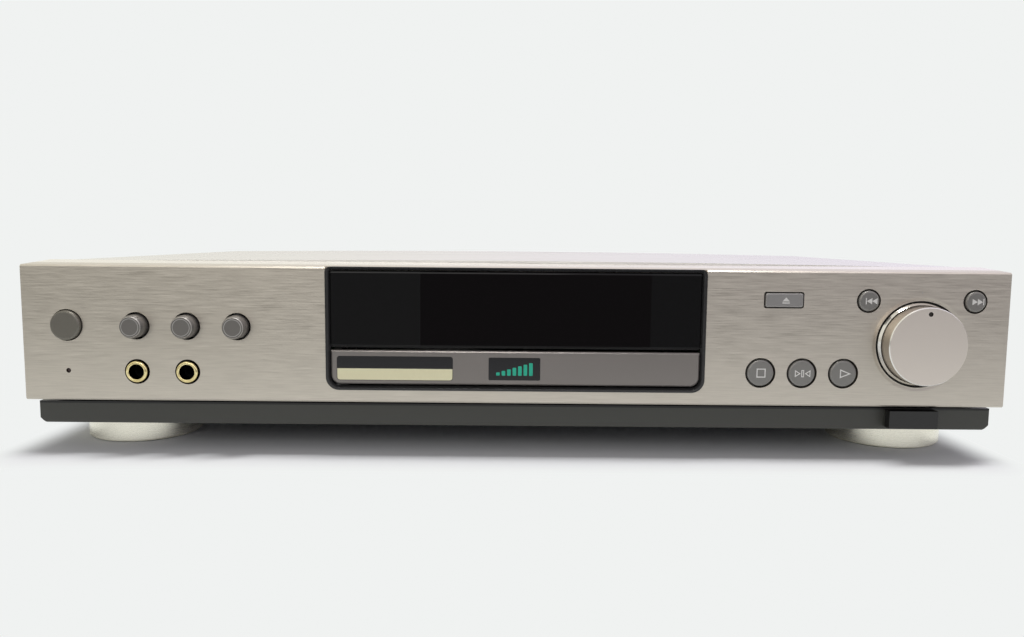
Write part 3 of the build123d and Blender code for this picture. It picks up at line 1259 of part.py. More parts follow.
def clamper():
    neck_r = BRIDGE_HOLE_R - CLAMPER_NECK_GAP
    pad_top = LOADER_TOP_Z - CLAMPER_NECK_GAP
    flange_z = LOADER_TOP_Z + BRIDGE_T + SEAT_GAP
    cavity_r = HUB_R + CLAMPER_CAVITY_GAP
    cavity_z = DISC_PLANE_Z + HUB_H + CLAMPER_CAVITY_RISE
    return turned_z(0, DISC_Y, [(0, cavity_z), (cavity_r, cavity_z), (cavity_r, CLAMPER_PAD_Z),
                                (CLAMPER_PAD_R, CLAMPER_PAD_Z), (CLAMPER_PAD_R, pad_top),
                                (neck_r, pad_top), (neck_r, flange_z), (CLAMPER_R, flange_z),
                                (CLAMPER_R, flange_z + CLAMPER_T), (0, flange_z + CLAMPER_T)])


def guide_rods():
    z = DECK_Z + DECK_T / 2
    return group([rod_y(side * ROD_X, z, ROD_R, WELL_FRONT_Y, WELL_BACK_Y) for side in (-1, 1)])


def pickup_body():
    start = PICKUP_START_Y
    end = start + PICKUP_L
    rod_z_mid = DECK_Z + DECK_T / 2
    body = block(-PICKUP_HALF_W, PICKUP_HALF_W, start, end, PICKUP_Z, PICKUP_TOP_Z)
    low = rod_z_mid - BUSH_H / 2
    high = DECK_TOP_Z - LOOSE_GAP
    bushes = [block(-PICKUP_HALF_W - BUSH_W, -PICKUP_HALF_W, start, end, low, high),
              block(PICKUP_HALF_W, PICKUP_HALF_W + BUSH_W, start, start + PICKUP_L / 3, low, high)]
    arm = block(PICKUP_HALF_W - 1, FEED_RACK_X + 0.5, start, end, FEED_RACK_Z,
                PICKUP_TOP_Z)
    rack_end = start + FEED_RACK_L
    rack_top = FEED_RACK_Z + FEED_RACK_T
    bar = block(FEED_RACK_X, FEED_RACK_X + FEED_RACK_W, start, rack_end, FEED_RACK_Z, rack_top)
    pitch_x = FEED_RACK_X + FEED_RACK_W + FEED_MODULE
    teeth = rack_teeth(pitch_x, FEED_GEAR_Y, start, rack_end, FEED_RACK_Z, rack_top, FEED_MODULE)
    inner = LENS_HOLDER / 2 + SHROUD_GAP
    outer = inner + SHROUD_T
    shroud = block(-outer, outer, LENS_Y - inner, LENS_Y + outer, PICKUP_TOP_Z - 1,
                   PICKUP_TOP_Z + SHROUD_H)
    well = block(-inner, inner, LENS_Y - outer, LENS_Y + inner, PICKUP_TOP_Z,
                 PICKUP_TOP_Z + SHROUD_H + 1)
    rods = [rod_y(-ROD_X, rod_z_mid, ROD_R + RUN_GAP, start - 1, end + 1),
            block(ROD_X - ROD_R - 0.5, ROD_X + BUSH_W, start - 1, end + 1,
                  rod_z_mid - ROD_R - RUN_GAP, rod_z_mid + ROD_R + RUN_GAP)]
    return body + bushes + [arm, bar] + teeth + shroud - well - rods


def objective_lens():
    low = PICKUP_TOP_Z + LENS_LIFT
    half = LENS_HOLDER / 2
    holder = block(-half, half, LENS_Y - half, LENS_Y + half, low, low + LENS_HOLDER_T)
    holder = fillet(holder.edges().filter_by(Axis.Z), LENS_HOLDER_CORNER)
    high = low + LENS_HOLDER_T
    dome = turned_z(0, LENS_Y, [(0, low), (LENS_R, low), (LENS_R, high + LENS_RIM_H),
                                (LENS_R * 0.6, high + LENS_SHOULDER_H), (0, high + LENS_DOME_H)])
    return holder + dome


def feed_motor():
    body = rod_z(FEED_GEAR_X, FEED_PINION_Y, FEED_MOTOR_R, DECK_Z - FEED_MOTOR_H, DECK_Z)
    body = fillet(body.edges().group_by(Axis.Z)[0], FEED_MOTOR_EDGE)
    shaft_top = DECK_TOP_Z + SEAT_GAP + FEED_WHEEL_T
    return body + rod_z(FEED_GEAR_X, FEED_PINION_Y, FEED_SHAFT_R, DECK_Z - 1, shaft_top)


def feed_pinion():
    z0 = DECK_TOP_Z + SEAT_GAP
    face = gear_face(FEED_PINION_TEETH, FEED_WHEEL_MODULE, -90 + 180 / FEED_PINION_TEETH)
    pinion = slab_z(face, z0, z0 + FEED_WHEEL_T)
    bore = rod_z(0, 0, FEED_SHAFT_R + RUN_GAP, z0 - 1, z0 + FEED_WHEEL_T + 1)
    return Pos(FEED_GEAR_X, FEED_PINION_Y, 0) * (pinion - bore)


def feed_gear():
    z0 = DECK_TOP_Z + SEAT_GAP
    wheel = slab_z(gear_face(FEED_WHEEL_TEETH, FEED_WHEEL_MODULE, 90), z0, z0 + FEED_WHEEL_T)
    top = FEED_RACK_Z + FEED_RACK_T
    gear = slab_z(gear_face(FEED_TEETH, FEED_MODULE, 180), z0 + FEED_WHEEL_T, top)
    bore = rod_z(0, 0, FEED_AXLE_R + RUN_GAP, z0 - 1, top + 1)
    return Pos(FEED_GEAR_X, FEED_GEAR_Y, 0) * (wheel + gear - bore)


# Main board, power supply and rear sockets

def main_board():
    back = BACK_Y - BOARD_BACK_GAP
    face = rectangle(MAIN_BOARD_X, BOARD_OUTER_X, MAIN_BOARD_FRONT_Y, back)
    face += rectangle(MAIN_BOARD_STEP_X, BOARD_OUTER_X, MAIN_BOARD_STEP_Y, back)
    return slab_z(face, BOARD_Z, BOARD_TOP_Z)


def main_board_chips():
    """Flat chip packages: place as a share of the board's width and depth, then size."""
    chips = [(0.24, 0.19, CHIP_LARGE, CHIP_LARGE), (0.58, 0.17, CHIP_MIDDLE, CHIP_MIDDLE),
             (0.27, 0.41, CHIP_MIDDLE, CHIP_SMALL), (0.60, 0.38, CHIP_MIDDLE, CHIP_SMALL),
             (0.34, 0.60, CHIP_LARGE, CHIP_LARGE), (0.74, 0.58, CHIP_SMALL, CHIP_MIDDLE)]
    wide = BOARD_OUTER_X - MAIN_BOARD_X
    deep = BACK_Y - BOARD_BACK_GAP - MAIN_BOARD_FRONT_Y
    pieces = []
    for across, back, w, d in chips:
        x = MAIN_BOARD_X + across * wide
        y = MAIN_BOARD_FRONT_Y + back * deep
        pieces.append(block(x, x + w, y, y + d, BOARD_TOP_Z, BOARD_TOP_Z + CHIP_H))
    return group(pieces)


def power_board():
    return block(-BOARD_OUTER_X, -MAIN_BOARD_X, POWER_BOARD_FRONT_Y, BACK_Y - POWER_BOARD_BACK_GAP,
                 BOARD_Z, BOARD_TOP_Z)


def power_transformer():
    """Ferrite core with a window down each side, in the middle of the power board's width."""
    x = -(MAIN_BOARD_X + BOARD_OUTER_X) / 2
    y = POWER_BOARD_FRONT_Y + POWER_BLOCK_FROM_FRONT
    low = BOARD_TOP_Z
    high = low + POWER_BLOCK_H
    half_w = POWER_BLOCK_W / 2
    half_l = POWER_BLOCK_L / 2
    core = block(x - half_w, x + half_w, y - half_l, y + half_l, low, high)
    side = 0.28 * POWER_BLOCK_W
    for sign in (-1, 1):
        x0, x1 = sorted((x + sign * side, x + sign * (side - POWER_BLOCK_WINDOW)))
        core -= block(x0, x1, y - half_l - 1, y + half_l + 1, low + POWER_BLOCK_YOKE,
                      high - POWER_BLOCK_YOKE)
    return fillet(core.edges().filter_by(Axis.Y).group_by(Axis.Z)[-1], POWER_BLOCK_EDGE)


def power_capacitors():
    x = CAPACITOR_FROM_EDGE - BOARD_OUTER_X
    cans = []
    for index in range(3):
        y = POWER_BOARD_FRONT_Y + CAPACITOR_FROM_FRONT + index * CAPACITOR_PITCH
        can = rod_z(x, y, CAPACITOR_R, BOARD_TOP_Z, BOARD_TOP_Z + CAPACITOR_H)
        cans.append(fillet(can.edges().group_by(Axis.Z)[-1], CAPACITOR_EDGE))
    return group(cans)


def heat_sink():
    x = -MAIN_BOARD_X - SINK_FROM_EDGE
    low = BOARD_TOP_Z
    high = low + SINK_H
    front = POWER_BOARD_FRONT_Y + SINK_FROM_FRONT
    sink = block(x, x + SINK_T, front, front + SINK_L, low, high)
    for index in range(SINK_FINS):
        fin_y = front + index * SINK_FIN_PITCH
        sink += block(x - SINK_FIN_L, x + SINK_T / 2, fin_y, fin_y + SINK_FIN_T, low, high)
    return sink


def phono_column(x):
    """One block on the main board with two phono sockets."""
    base = BOARD_TOP_Z
    front = BACK_Y - SOCKET_BODY_D
    column = block(x - SOCKET_HALF_W, x + SOCKET_HALF_W, front, BACK_Y, base,
                   SOCKET_HIGH_Z + SOCKET_HALF_W)
    for z in (SOCKET_LOW_Z, SOCKET_HIGH_Z):
        column += rod_y(x, z, PHONO_R, BACK_Y - 1, BODY_D + PHONO_L)
        column -= rod_y(x, z, PHONO_BORE_R, front + 2, BODY_D + PHONO_L + 1)
    return column


def phono_jacks():
    return group([phono_column(x) for x in SOCKET_XS])


def s_video_jacks():
    sockets = []
    front = BACK_Y - SOCKET_BODY_D
    face_y = BODY_D + MINI_DIN_L
    base = BOARD_TOP_Z
    body = block(MINI_DIN_X - SOCKET_HALF_W, MINI_DIN_X + SOCKET_HALF_W, front, BACK_Y, base,
                 SOCKET_HIGH_Z + SOCKET_HALF_W)
    for z in (SOCKET_LOW_Z, SOCKET_HIGH_Z):
        body += rod_y(MINI_DIN_X, z, MINI_DIN_R, BACK_Y - 1, face_y)
        body -= rod_y(MINI_DIN_X, z, MINI_DIN_BORE_R, face_y - MINI_DIN_DEPTH, face_y + 1)
    sockets.append(body)
    return group(sockets)


def mains_inlet():
    back = BODY_D + INLET_FLANGE_T
    wide = INLET_HALF_W + INLET_FLANGE
    tall = INLET_HALF_H + INLET_FLANGE
    body = block(INLET_X - INLET_HALF_W, INLET_X + INLET_HALF_W, back - INLET_D, back,
                 INLET_Z - INLET_HALF_H, INLET_Z + INLET_HALF_H)
    flange = block(INLET_X - wide, INLET_X + wide, BODY_D, back, INLET_Z - tall, INLET_Z + tall)
    flange = fillet(flange.edges().filter_by(Axis.Y), INLET_FLANGE_CORNER)
    recess = slab_y(Pos(INLET_X, INLET_Z) * RectangleRounded(2 * INLET_BORE_HALF_W,
                                                            2 * INLET_BORE_HALF_H, INLET_CORNER),
                    back - INLET_BORE_D, back + 1)
    pins = [rod_y(INLET_X + side * INLET_PIN_X, INLET_Z, INLET_PIN_R, back - INLET_BORE_D - 1,
                  back - INLET_PIN_SET_BACK) for side in (-1, 1)]
    return body + flange - recess + pins


def transport_button(x):
    return round_button(x, TRANSPORT_H, TRANSPORT_R, TRANSPORT_GAP, TRANSPORT_PROUD, BUTTON_TRAVEL)


def skip_button(x):
    return round_button(x, SKIP_H, SKIP_R, SKIP_GAP, SKIP_PROUD, BUTTON_TRAVEL)


PIECES = {
    "top_cover": top_cover,
    "case_screws": case_screws,
    "bottom_chassis": bottom_chassis,
    "rear_panel": rear_panel,
    "fascia_panel": fascia_panel,
    "fascia_frame": fascia_frame,
    "plinth_trim": plinth_trim,
    "display_surround": display_surround,
    "display_window": display_window,
    "tray_front": tray_front,
    "power_button": lambda: round_button(POWER_X, POWER_H, POWER_R, POWER_GAP, POWER_PROUD,
                                         POWER_TRAVEL),
    "eject_button": eject_button,
    "stop_button": lambda: transport_button(STOP_X),
    "pause_button": lambda: transport_button(PAUSE_X),
    "play_button": lambda: transport_button(PLAY_X),
    "skip_back_button": lambda: skip_button(SKIP_BACK_X),
    "skip_forward_button": lambda: skip_button(SKIP_FORWARD_X),
    "search_dial": search_dial,
    "mic_1_knob": lambda: knob(KNOB_XS[0], KNOB_H, MIC_1_DEG),
    "mic_2_knob": lambda: knob(KNOB_XS[1], KNOB_H, MIC_2_DEG),
    "echo_knob": lambda: knob(KNOB_XS[2], KNOB_H, ECHO_DEG),
    "mic_jacks": mic_jacks,
    "mic_jack_rings": mic_jack_rings,
    "standby_lamp": standby_lamp,
    "foot_shells": foot_shells,
    "foot_pads": foot_pads,
    "front_board": front_board,
    "panel_switches": panel_switches,
    "rotary_controls": rotary_controls,
    "display_tube": display_tube,
    "disc_tray": disc_tray,
    "loader_chassis": loader_chassis,
    "loader_grommets": loader_grommets,
    "loading_motor": loading_motor,
    "motor_pulley": motor_pulley,
    "loading_belt": loading_belt,
    "pulley_gear": pulley_gear,
    "tray_drive_gear": tray_drive_gear,
    "lift_cam": lift_cam,
    "traverse_frame": traverse_frame,
    "spindle_motor": spindle_motor,
    "turntable": turntable,
    "clamp_bridge": clamp_bridge,
    "clamper": clamper,
    "guide_rods": guide_rods,
    "pickup_body": pickup_body,
    "objective_lens": objective_lens,
    "feed_motor": feed_motor,
    "feed_pinion": feed_pinion,
    "feed_gear": feed_gear,
    "main_board": main_board,
    "main_board_chips": main_board_chips,
    "power_board": power_board,
    "power_transformer": power_transformer,
    "power_capacitors": power_capacitors,
    "heat_sink": heat_sink,
    "phono_jacks": phono_jacks,
    "s_video_jacks": s_video_jacks,
    "mains_inlet": mains_inlet,
}


def main():
    os.makedirs("parts", exist_ok=True)
    for name, make in PIECES.items():
        export_step(Pos(0, CENTRE_SHIFT, 0) * make(), f"parts/{name}.step")


if __name__ == "__main__":
    main()
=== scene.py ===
import math

import bmesh
import bpy
from mathutils import Matrix, Vector


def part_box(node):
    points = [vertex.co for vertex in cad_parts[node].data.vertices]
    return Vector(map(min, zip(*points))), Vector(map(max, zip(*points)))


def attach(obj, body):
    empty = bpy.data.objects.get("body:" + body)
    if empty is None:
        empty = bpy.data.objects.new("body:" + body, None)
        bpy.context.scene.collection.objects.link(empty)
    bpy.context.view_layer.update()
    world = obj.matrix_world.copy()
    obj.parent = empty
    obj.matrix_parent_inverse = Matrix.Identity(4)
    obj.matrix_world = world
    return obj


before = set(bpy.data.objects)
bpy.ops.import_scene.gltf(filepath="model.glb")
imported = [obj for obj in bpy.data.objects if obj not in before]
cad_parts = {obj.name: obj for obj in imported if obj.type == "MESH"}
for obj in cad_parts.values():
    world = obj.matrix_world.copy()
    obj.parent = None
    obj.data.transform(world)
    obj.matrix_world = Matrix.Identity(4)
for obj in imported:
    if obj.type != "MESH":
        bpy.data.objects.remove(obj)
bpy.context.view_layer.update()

# The studio: the player stands on a white sheet in a bright room, lit from overhead by a broad
# soft lamp and a weaker one in front. The room in front of it is dimmer, and that is what its
# window mirrors. A little way out from the player, the sheet is as even a white as the walls.
WALL_WHITE = (0.871, 0.887, 0.879, 1)
ROOM_DIM = (0.20, 0.195, 0.19, 1)
ROOM_BRIGHT_LEFT = (0.880, 0.865, 0.790, 1)
ROOM_BRIGHT_RIGHT = (0.900, 0.855, 0.940, 1)
ROOM_FILL = 0.36
FRONT_TO_BACK = (-0.9, 0.35)
HORIZON_TO_WALL = (-0.02, 0.18)
LEFT_TO_RIGHT = (-0.5, 0.5)
FLOOR_WHITE = (0.850, 0.870, 0.905, 1)
FLOOR_HALF_WIDTH = 3.0
FLOOR_FRONT = -0.40
FLOOR_BACK = 3.0
GLOW_MIDDLE = (-0.004, 0, 0)
GLOW_START = (0.205, 0.138, 0)
GLOW_FADE = 0.022
BEFORE_PLAYER = (-0.105, -0.135)
MIRRORED_GLOW = 0.65
FIRST_BOUNCE = 1.5


def link_object(name, data):
    """Puts mesh, curve, lamp or camera data into the scene under a name."""
    item = bpy.data.objects.new(name, data)
    bpy.context.scene.collection.objects.link(item)
    return item


def math_node(nodes, links, operation, first, second=None, third=None, clamp=False):
    """One Math node; inputs may be sockets or numbers."""
    node = nodes.new("ShaderNodeMath")
    node.operation = operation
    node.use_clamp = clamp
    for socket, value in zip(node.inputs, (first, second, third)):
        if value is None:
            continue
        if isinstance(value, (int, float)):
            socket.default_value = value
        else:
            links.new(value, socket)
    return node.outputs[0]


def fade(nodes, links, value, start, end):
    """0 below start, 1 above end, smooth between."""
    node = nodes.new("ShaderNodeMapRange")
    node.interpolation_type = "SMOOTHSTEP"
    node.inputs["From Min"].default_value = start
    node.inputs["From Max"].default_value = end
    links.new(value, node.inputs["Value"])
    return node.outputs["Result"]


def blend_colours(nodes, links, factor, first, second):
    """Colour mix; each colour is a socket or a tuple."""
    node = nodes.new("ShaderNodeMix")
    node.data_type = "RGBA"
    links.new(factor, node.inputs[0])
    for socket, value in ((node.inputs[6], first), (node.inputs[7], second)):
        if isinstance(value, tuple):
            socket.default_value = value
        else:
            links.new(value, socket)
    return node.outputs[2]


scene = bpy.context.scene
scene.view_settings.view_transform = "Standard"
room = bpy.data.worlds.new("room")
scene.world = room
room.use_nodes = True
nodes, links = room.node_tree.nodes, room.node_tree.links
background = nodes["Background"]
direction = nodes.new("ShaderNodeSeparateXYZ")
links.new(nodes.new("ShaderNodeTexCoord").outputs["Generated"], direction.inputs[0])
backward = fade(nodes, links, direction.outputs["Y"], *FRONT_TO_BACK)
upward = fade(nodes, links, direction.outputs["Z"], *HORIZON_TO_WALL)
lightness = math_node(nodes, links, "MAXIMUM", backward, upward)
rightward = fade(nodes, links, direction.outputs["X"], *LEFT_TO_RIGHT)
bright_walls = blend_colours(nodes, links, rightward, ROOM_BRIGHT_LEFT, ROOM_BRIGHT_RIGHT)
walls = blend_colours(nodes, links, lightness, ROOM_DIM, bright_walls)
ray = nodes.new("ShaderNodeLightPath")
seen = blend_colours(nodes, links, ray.outputs["Is Camera Ray"], walls, WALL_WHITE)
links.new(seen, background.inputs["Color"])
strength = math_node(nodes, links, "MULTIPLY_ADD", ray.outputs["Is Diffuse Ray"],
                     ROOM_FILL - 1.0, 1.0)
links.new(strength, background.inputs["Strength"])

floor_mesh = bpy.data.meshes.new("floor")
floor_mesh.from_pydata([(-FLOOR_HALF_WIDTH, FLOOR_FRONT, 0), (FLOOR_HALF_WIDTH, FLOOR_FRONT, 0),
                        (FLOOR_HALF_WIDTH, FLOOR_BACK, 0), (-FLOOR_HALF_WIDTH, FLOOR_BACK, 0)],
                       [], [(0, 1, 2, 3)])
floor = link_object("floor", floor_mesh)
floor_paper = bpy.data.materials.new("floor paper")
floor_paper.use_nodes = True
nodes, links = floor_paper.node_tree.nodes, floor_paper.node_tree.links
paper = nodes["Principled BSDF"]
paper.inputs["Base Color"].default_value = FLOOR_WHITE
paper.inputs["Roughness"].default_value = 0.8
paper.inputs["Specular IOR Level"].default_value = 0.1
far_glow = nodes.new("ShaderNodeEmission")
far_glow.inputs["Color"].default_value = WALL_WHITE
from_middle = nodes.new("ShaderNodeVectorMath")
from_middle.operation = "SUBTRACT"
from_middle.inputs[1].default_value = GLOW_MIDDLE
links.new(nodes.new("ShaderNodeTexCoord").outputs["Object"], from_middle.inputs[0])
past_player = nodes.new("ShaderNodeVectorMath")
past_player.operation = "ABSOLUTE"
links.new(from_middle.outputs[0], past_player.inputs[0])
beyond = nodes.new("ShaderNodeVectorMath")
beyond.operation = "SUBTRACT"
beyond.inputs[1].default_value = GLOW_START
links.new(past_player.outputs[0], beyond.inputs[0])
outside = nodes.new("ShaderNodeVectorMath")
outside.operation = "MAXIMUM"
outside.inputs[1].default_value = (0, 0, 0)
links.new(beyond.outputs[0], outside.inputs[0])
distance = nodes.new("ShaderNodeVectorMath")
distance.operation = "LENGTH"
links.new(outside.outputs[0], distance.inputs[0])
far = fade(nodes, links, distance.outputs["Value"], 0.0, GLOW_FADE)
ray = nodes.new("ShaderNodeLightPath")
looked_at = math_node(nodes, links, "MAXIMUM", ray.outputs["Is Camera Ray"],
                      ray.outputs["Is Glossy Ray"])
looked_at = math_node(nodes, links, "MAXIMUM", looked_at, ray.outputs["Is Transmission Ray"])
first_bounce = math_node(nodes, links, "LESS_THAN", ray.outputs["Ray Depth"], FIRST_BOUNCE)
first_mirror = math_node(nodes, links, "MULTIPLY", ray.outputs["Is Glossy Ray"], first_bounce)
along_floor = nodes.new("ShaderNodeSeparateXYZ")
links.new(from_middle.outputs[0], along_floor.inputs[0])
before_player = fade(nodes, links, along_floor.outputs["Y"], *BEFORE_PLAYER)
mirrored = math_node(nodes, links, "MULTIPLY", first_mirror,
                     math_node(nodes, links, "MULTIPLY", before_player, MIRRORED_GLOW))
far = math_node(nodes, links, "MAXIMUM", far, mirrored)
paper_mix = nodes.new("ShaderNodeMixShader")
links.new(math_node(nodes, links, "MULTIPLY", far, looked_at), paper_mix.inputs[0])
links.new(paper.outputs[0], paper_mix.inputs[1])
links.new(far_glow.outputs[0], paper_mix.inputs[2])
links.new(paper_mix.outputs[0], nodes["Material Output"].inputs["Surface"])
floor_mesh.materials.append(floor_paper)

OVERHEAD_PLACE = (0.04, -0.10, 1.20)
OVERHEAD_AIM = (0, 0, 0)
OVERHEAD_SIZE = (0.44, 0.14)
OVERHEAD_POWER = 8.6
OVERHEAD_TINT = (1.0, 0.985, 0.96)
FRONT_PLACE = (-0.24, -1.05, 0.46)
FRONT_AIM = (0, -0.13, 0.05)
FRONT_SIZE = (0.70, 0.40)
FRONT_POWER = 1.35
FRONT_TINT = (1.0, 0.98, 0.95)


def soft_lamp(name, place, aim, size, power, colour):
    """Rectangular soft lamp at a place, turned towards a point."""
    lamp_data = bpy.data.lights.new(name, "AREA")
    lamp_data.shape = "RECTANGLE"
    lamp_data.size, lamp_data.size_y = size
    lamp_data.energy = power
    lamp_data.color = colour
    lamp = link_object(name, lamp_data)
    lamp.location = place
    lamp.rotation_euler = (Vector(aim) - Vector(place)).to_track_quat("-Z", "Y").to_euler()
    return lamp


soft_lamp("overhead_lamp", OVERHEAD_PLACE, OVERHEAD_AIM, OVERHEAD_SIZE, OVERHEAD_POWER,
          OVERHEAD_TINT)
soft_lamp("front_lamp", FRONT_PLACE, FRONT_AIM, FRONT_SIZE, FRONT_POWER, FRONT_TINT)

# The camera stands 97 mm above the sheet and 350 mm in front of the panel. It looks down by almost
# six degrees and leans by half a degree.
CAMERA_PLACE = (-0.0021, -0.4836, 0.0970)
CAMERA_DOWN = math.radians(5.765)
CAMERA_TURN = math.radians(0.074)
CAMERA_ROLL = math.radians(0.511)
CAMERA_LENS = 28.40
camera_data = bpy.data.cameras.new("camera")
camera_data.sensor_width = 36.0
camera_data.lens = CAMERA_LENS
camera_data.clip_start = 0.01
camera = link_object("camera", camera_data)
ahead = Vector((math.sin(CAMERA_TURN) * math.cos(CAMERA_DOWN),
                math.cos(CAMERA_TURN) * math.cos(CAMERA_DOWN), -math.sin(CAMERA_DOWN)))
level_right = Vector((math.cos(CAMERA_TURN), -math.sin(CAMERA_TURN), 0))
level_up = level_right.cross(ahead)
right = level_right * math.cos(CAMERA_ROLL) + level_up * math.sin(CAMERA_ROLL)
upright = level_up * math.cos(CAMERA_ROLL) - level_right * math.sin(CAMERA_ROLL)
camera.matrix_world = (Matrix.Translation(CAMERA_PLACE)
                       @ Matrix((right, upright, -ahead)).transposed().to_4x4())
scene.camera = camera

# The front panel is one aluminium extrusion, brushed along its length and anodised champagne grey.
# Its top edge band is painted near white: a painted highlight on the cut edge.
CHAMPAGNE = (0.560, 0.518, 0.452, 1)
CHAMPAGNE_LIGHT = (0.660, 0.615, 0.540, 1)
EDGE_HIGHLIGHT_WHITE = (0.900, 0.870, 0.810, 1)
HIGHLIGHT_BAND = 0.0009
PANEL_BRUSHING = (70.0, 2100.0, 2100.0)
PANEL_ROUGH = (0.30, 0.46)
CUT_POLISH = -0.14
PANEL_TOP_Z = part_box("fascia_panel")[1].z


def effect_group(name, inputs, outputs):
    """An empty node group with its named sockets, ready for its nodes."""
    group = bpy.data.node_groups.new(name, "ShaderNodeTree")
    for socket_name, kind, value in inputs:
        socket = group.interface.new_socket(socket_name, in_out="INPUT", socket_type=kind)
        socket.default_value = value
    for socket_name, kind in outputs:
        group.interface.new_socket(socket_name, in_out="OUTPUT", socket_type=kind)
    source = group.nodes.new("NodeGroupInput")
    result = group.nodes.new("NodeGroupOutput")
    return group, source, result


# Brush marks: long fine scratches. Stretch is how many marks fit in a metre along each axis.
FINE_SHARE = 0.93

brush_marks, source, result = effect_group(
    "brush marks", [("Stretch", "NodeSocketVector", (14.0, 2600.0, 2600.0)),
                    ("Contrast", "NodeSocketFloat", 1.0)],
    [("Tone", "NodeSocketFloat"), ("Height", "NodeSocketFloat")])
nodes, links = brush_marks.nodes, brush_marks.links
stretched = nodes.new("ShaderNodeVectorMath")
stretched.operation = "MULTIPLY"
links.new(nodes.new("ShaderNodeTexCoord").outputs["Object"], stretched.inputs[0])
links.new(source.outputs["Stretch"], stretched.inputs[1])
fine_marks = nodes.new("ShaderNodeTexNoise")
fine_marks.inputs["Scale"].default_value = 1.0
fine_marks.inputs["Detail"].default_value = 3.0
fine_marks.inputs["Roughness"].default_value = 0.75
links.new(stretched.outputs[0], fine_marks.inputs["Vector"])
broad_marks = nodes.new("ShaderNodeTexNoise")
broad_marks.inputs["Scale"].default_value = 0.22
broad_marks.inputs["Detail"].default_value = 2.0
links.new(stretched.outputs[0], broad_marks.inputs["Vector"])
marks = math_node(nodes, links, "ADD",
                  math_node(nodes, links, "MULTIPLY", fine_marks.outputs["Fac"], FINE_SHARE),
                  math_node(nodes, links, "MULTIPLY", broad_marks.outputs["Fac"], 1 - FINE_SHARE))
centred = math_node(nodes, links, "SUBTRACT", marks, 0.5)
tone = math_node(nodes, links, "MULTIPLY_ADD", centred, source.outputs["Contrast"], 0.5, clamp=True)
links.new(tone, result.inputs["Tone"])
links.new(marks, result.inputs["Height"])


def place_group(nodes, group, **values):
    """A group node with its inputs set."""
    node = nodes.new("ShaderNodeGroup")
    node.node_tree = group
    for name, value in values.items():
        node.inputs[name].default_value = value
    return node


def new_material(name, slot_colour, metallic, roughness, coat=0.0, specular=0.5):
    """A material with its Principled shader's steady values set."""
    material = bpy.data.materials.new(name)
    material.use_nodes = True
    shader = material.node_tree.nodes["Principled BSDF"]
    shader.inputs["Base Color"].default_value = slot_colour
    shader.inputs["Metallic"].default_value = metallic
    shader.inputs["Roughness"].default_value = roughness
    shader.inputs["Coat Weight"].default_value = coat
    shader.inputs["Specular IOR Level"].default_value = specular
    return material, material.node_tree.nodes, material.node_tree.links, shader


def bump(nodes, links, shader, height, depth):
    """Raises the surface by height, at most depth in metres."""
    node = nodes.new("ShaderNodeBump")
    node.inputs["Strength"].default_value = 1.0
    node.inputs["Distance"].default_value = depth
    links.new(height, node.inputs["Height"])
    links.new(node.outputs["Normal"], shader.inputs["Normal"])


def vary(nodes, links, value, low, high):
    """Maps a 0 to 1 value to a low and high one."""
    return math_node(nodes, links, "MULTIPLY_ADD", value, high - low, low)


def dress(node_name, material):
    """Gives a CAD node its finish."""
    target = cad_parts[node_name]
    if not target.material_slots:
        target.data.materials.append(material)
    for slot in target.material_slots:
        slot.material = material


def position_axes(nodes, links):
    """X, Y and Z of the surface point in the player's own frame."""
    split = nodes.new("ShaderNodeSeparateXYZ")
    links.new(nodes.new("ShaderNodeTexCoord").outputs["Object"], split.inputs[0])
    return split.outputs


brushed_panel, nodes, links, shader = new_material(
    "brushed champagne aluminium", CHAMPAGNE, metallic=1.0, roughness=0.4)
brushing = place_group(nodes, brush_marks, Stretch=PANEL_BRUSHING, Contrast=2.6)
panel_colour = blend_colours(nodes, links, brushing.outputs["Tone"], CHAMPAGNE, CHAMPAGNE_LIGHT)
height = position_axes(nodes, links)["Z"]
# Painted highlight: the top band of the panel is painted near white.
on_edge_highlight = math_node(nodes, links, "GREATER_THAN", height, PANEL_TOP_Z - HIGHLIGHT_BAND)
panel_colour = blend_colours(nodes, links, on_edge_highlight, panel_colour, EDGE_HIGHLIGHT_WHITE)
links.new(panel_colour, shader.inputs["Base Color"])
rough = vary(nodes, links, brushing.outputs["Tone"], *PANEL_ROUGH)
links.new(math_node(nodes, links, "MULTIPLY_ADD", on_edge_highlight, CUT_POLISH, rough),
          shader.inputs["Roughness"])
bump(nodes, links, shader, brushing.outputs["Height"], depth=0.00001)
dress("fascia_panel", brushed_panel)

# The top cover is one folded steel sheet, painted to match the panel with a fine metallic satin
# paint that has a thin clear coat. Screws in pressed dimples hold its sides.
COVER_PAINT = (0.375, 0.362, 0.335, 1)
COVER_PAINT_DARK = (0.335, 0.323, 0.298, 1)
COVER_EDGE_HIGHLIGHT = (0.880, 0.870, 0.840, 1)
COVER_COAT_ROUGH = 0.09
SHEET_END = 0.00005
COVER_FRONT_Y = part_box("top_cover")[0].y

# Fine grain: the small unevenness of paint, moulded plastic and cast surfaces.
fine_grain, source, result = effect_group(
    "fine grain", [("Size", "NodeSocketFloat", 0.0004), ("Softness", "NodeSocketFloat", 0.6)],
    [("Tone", "NodeSocketFloat"), ("Height", "NodeSocketFloat")])
nodes, links = fine_grain.nodes, fine_grain.links
grain = nodes.new("ShaderNodeTexNoise")
grain.inputs["Detail"].default_value = 3.0
links.new(nodes.new("ShaderNodeTexCoord").outputs["Object"], grain.inputs["Vector"])
links.new(math_node(nodes, links, "DIVIDE", 1.0, source.outputs["Size"]), grain.inputs["Scale"])
links.new(source.outputs["Softness"], grain.inputs["Roughness"])
links.new(grain.outputs["Fac"], result.inputs["Tone"])
links.new(grain.outputs["Fac"], result.inputs["Height"])

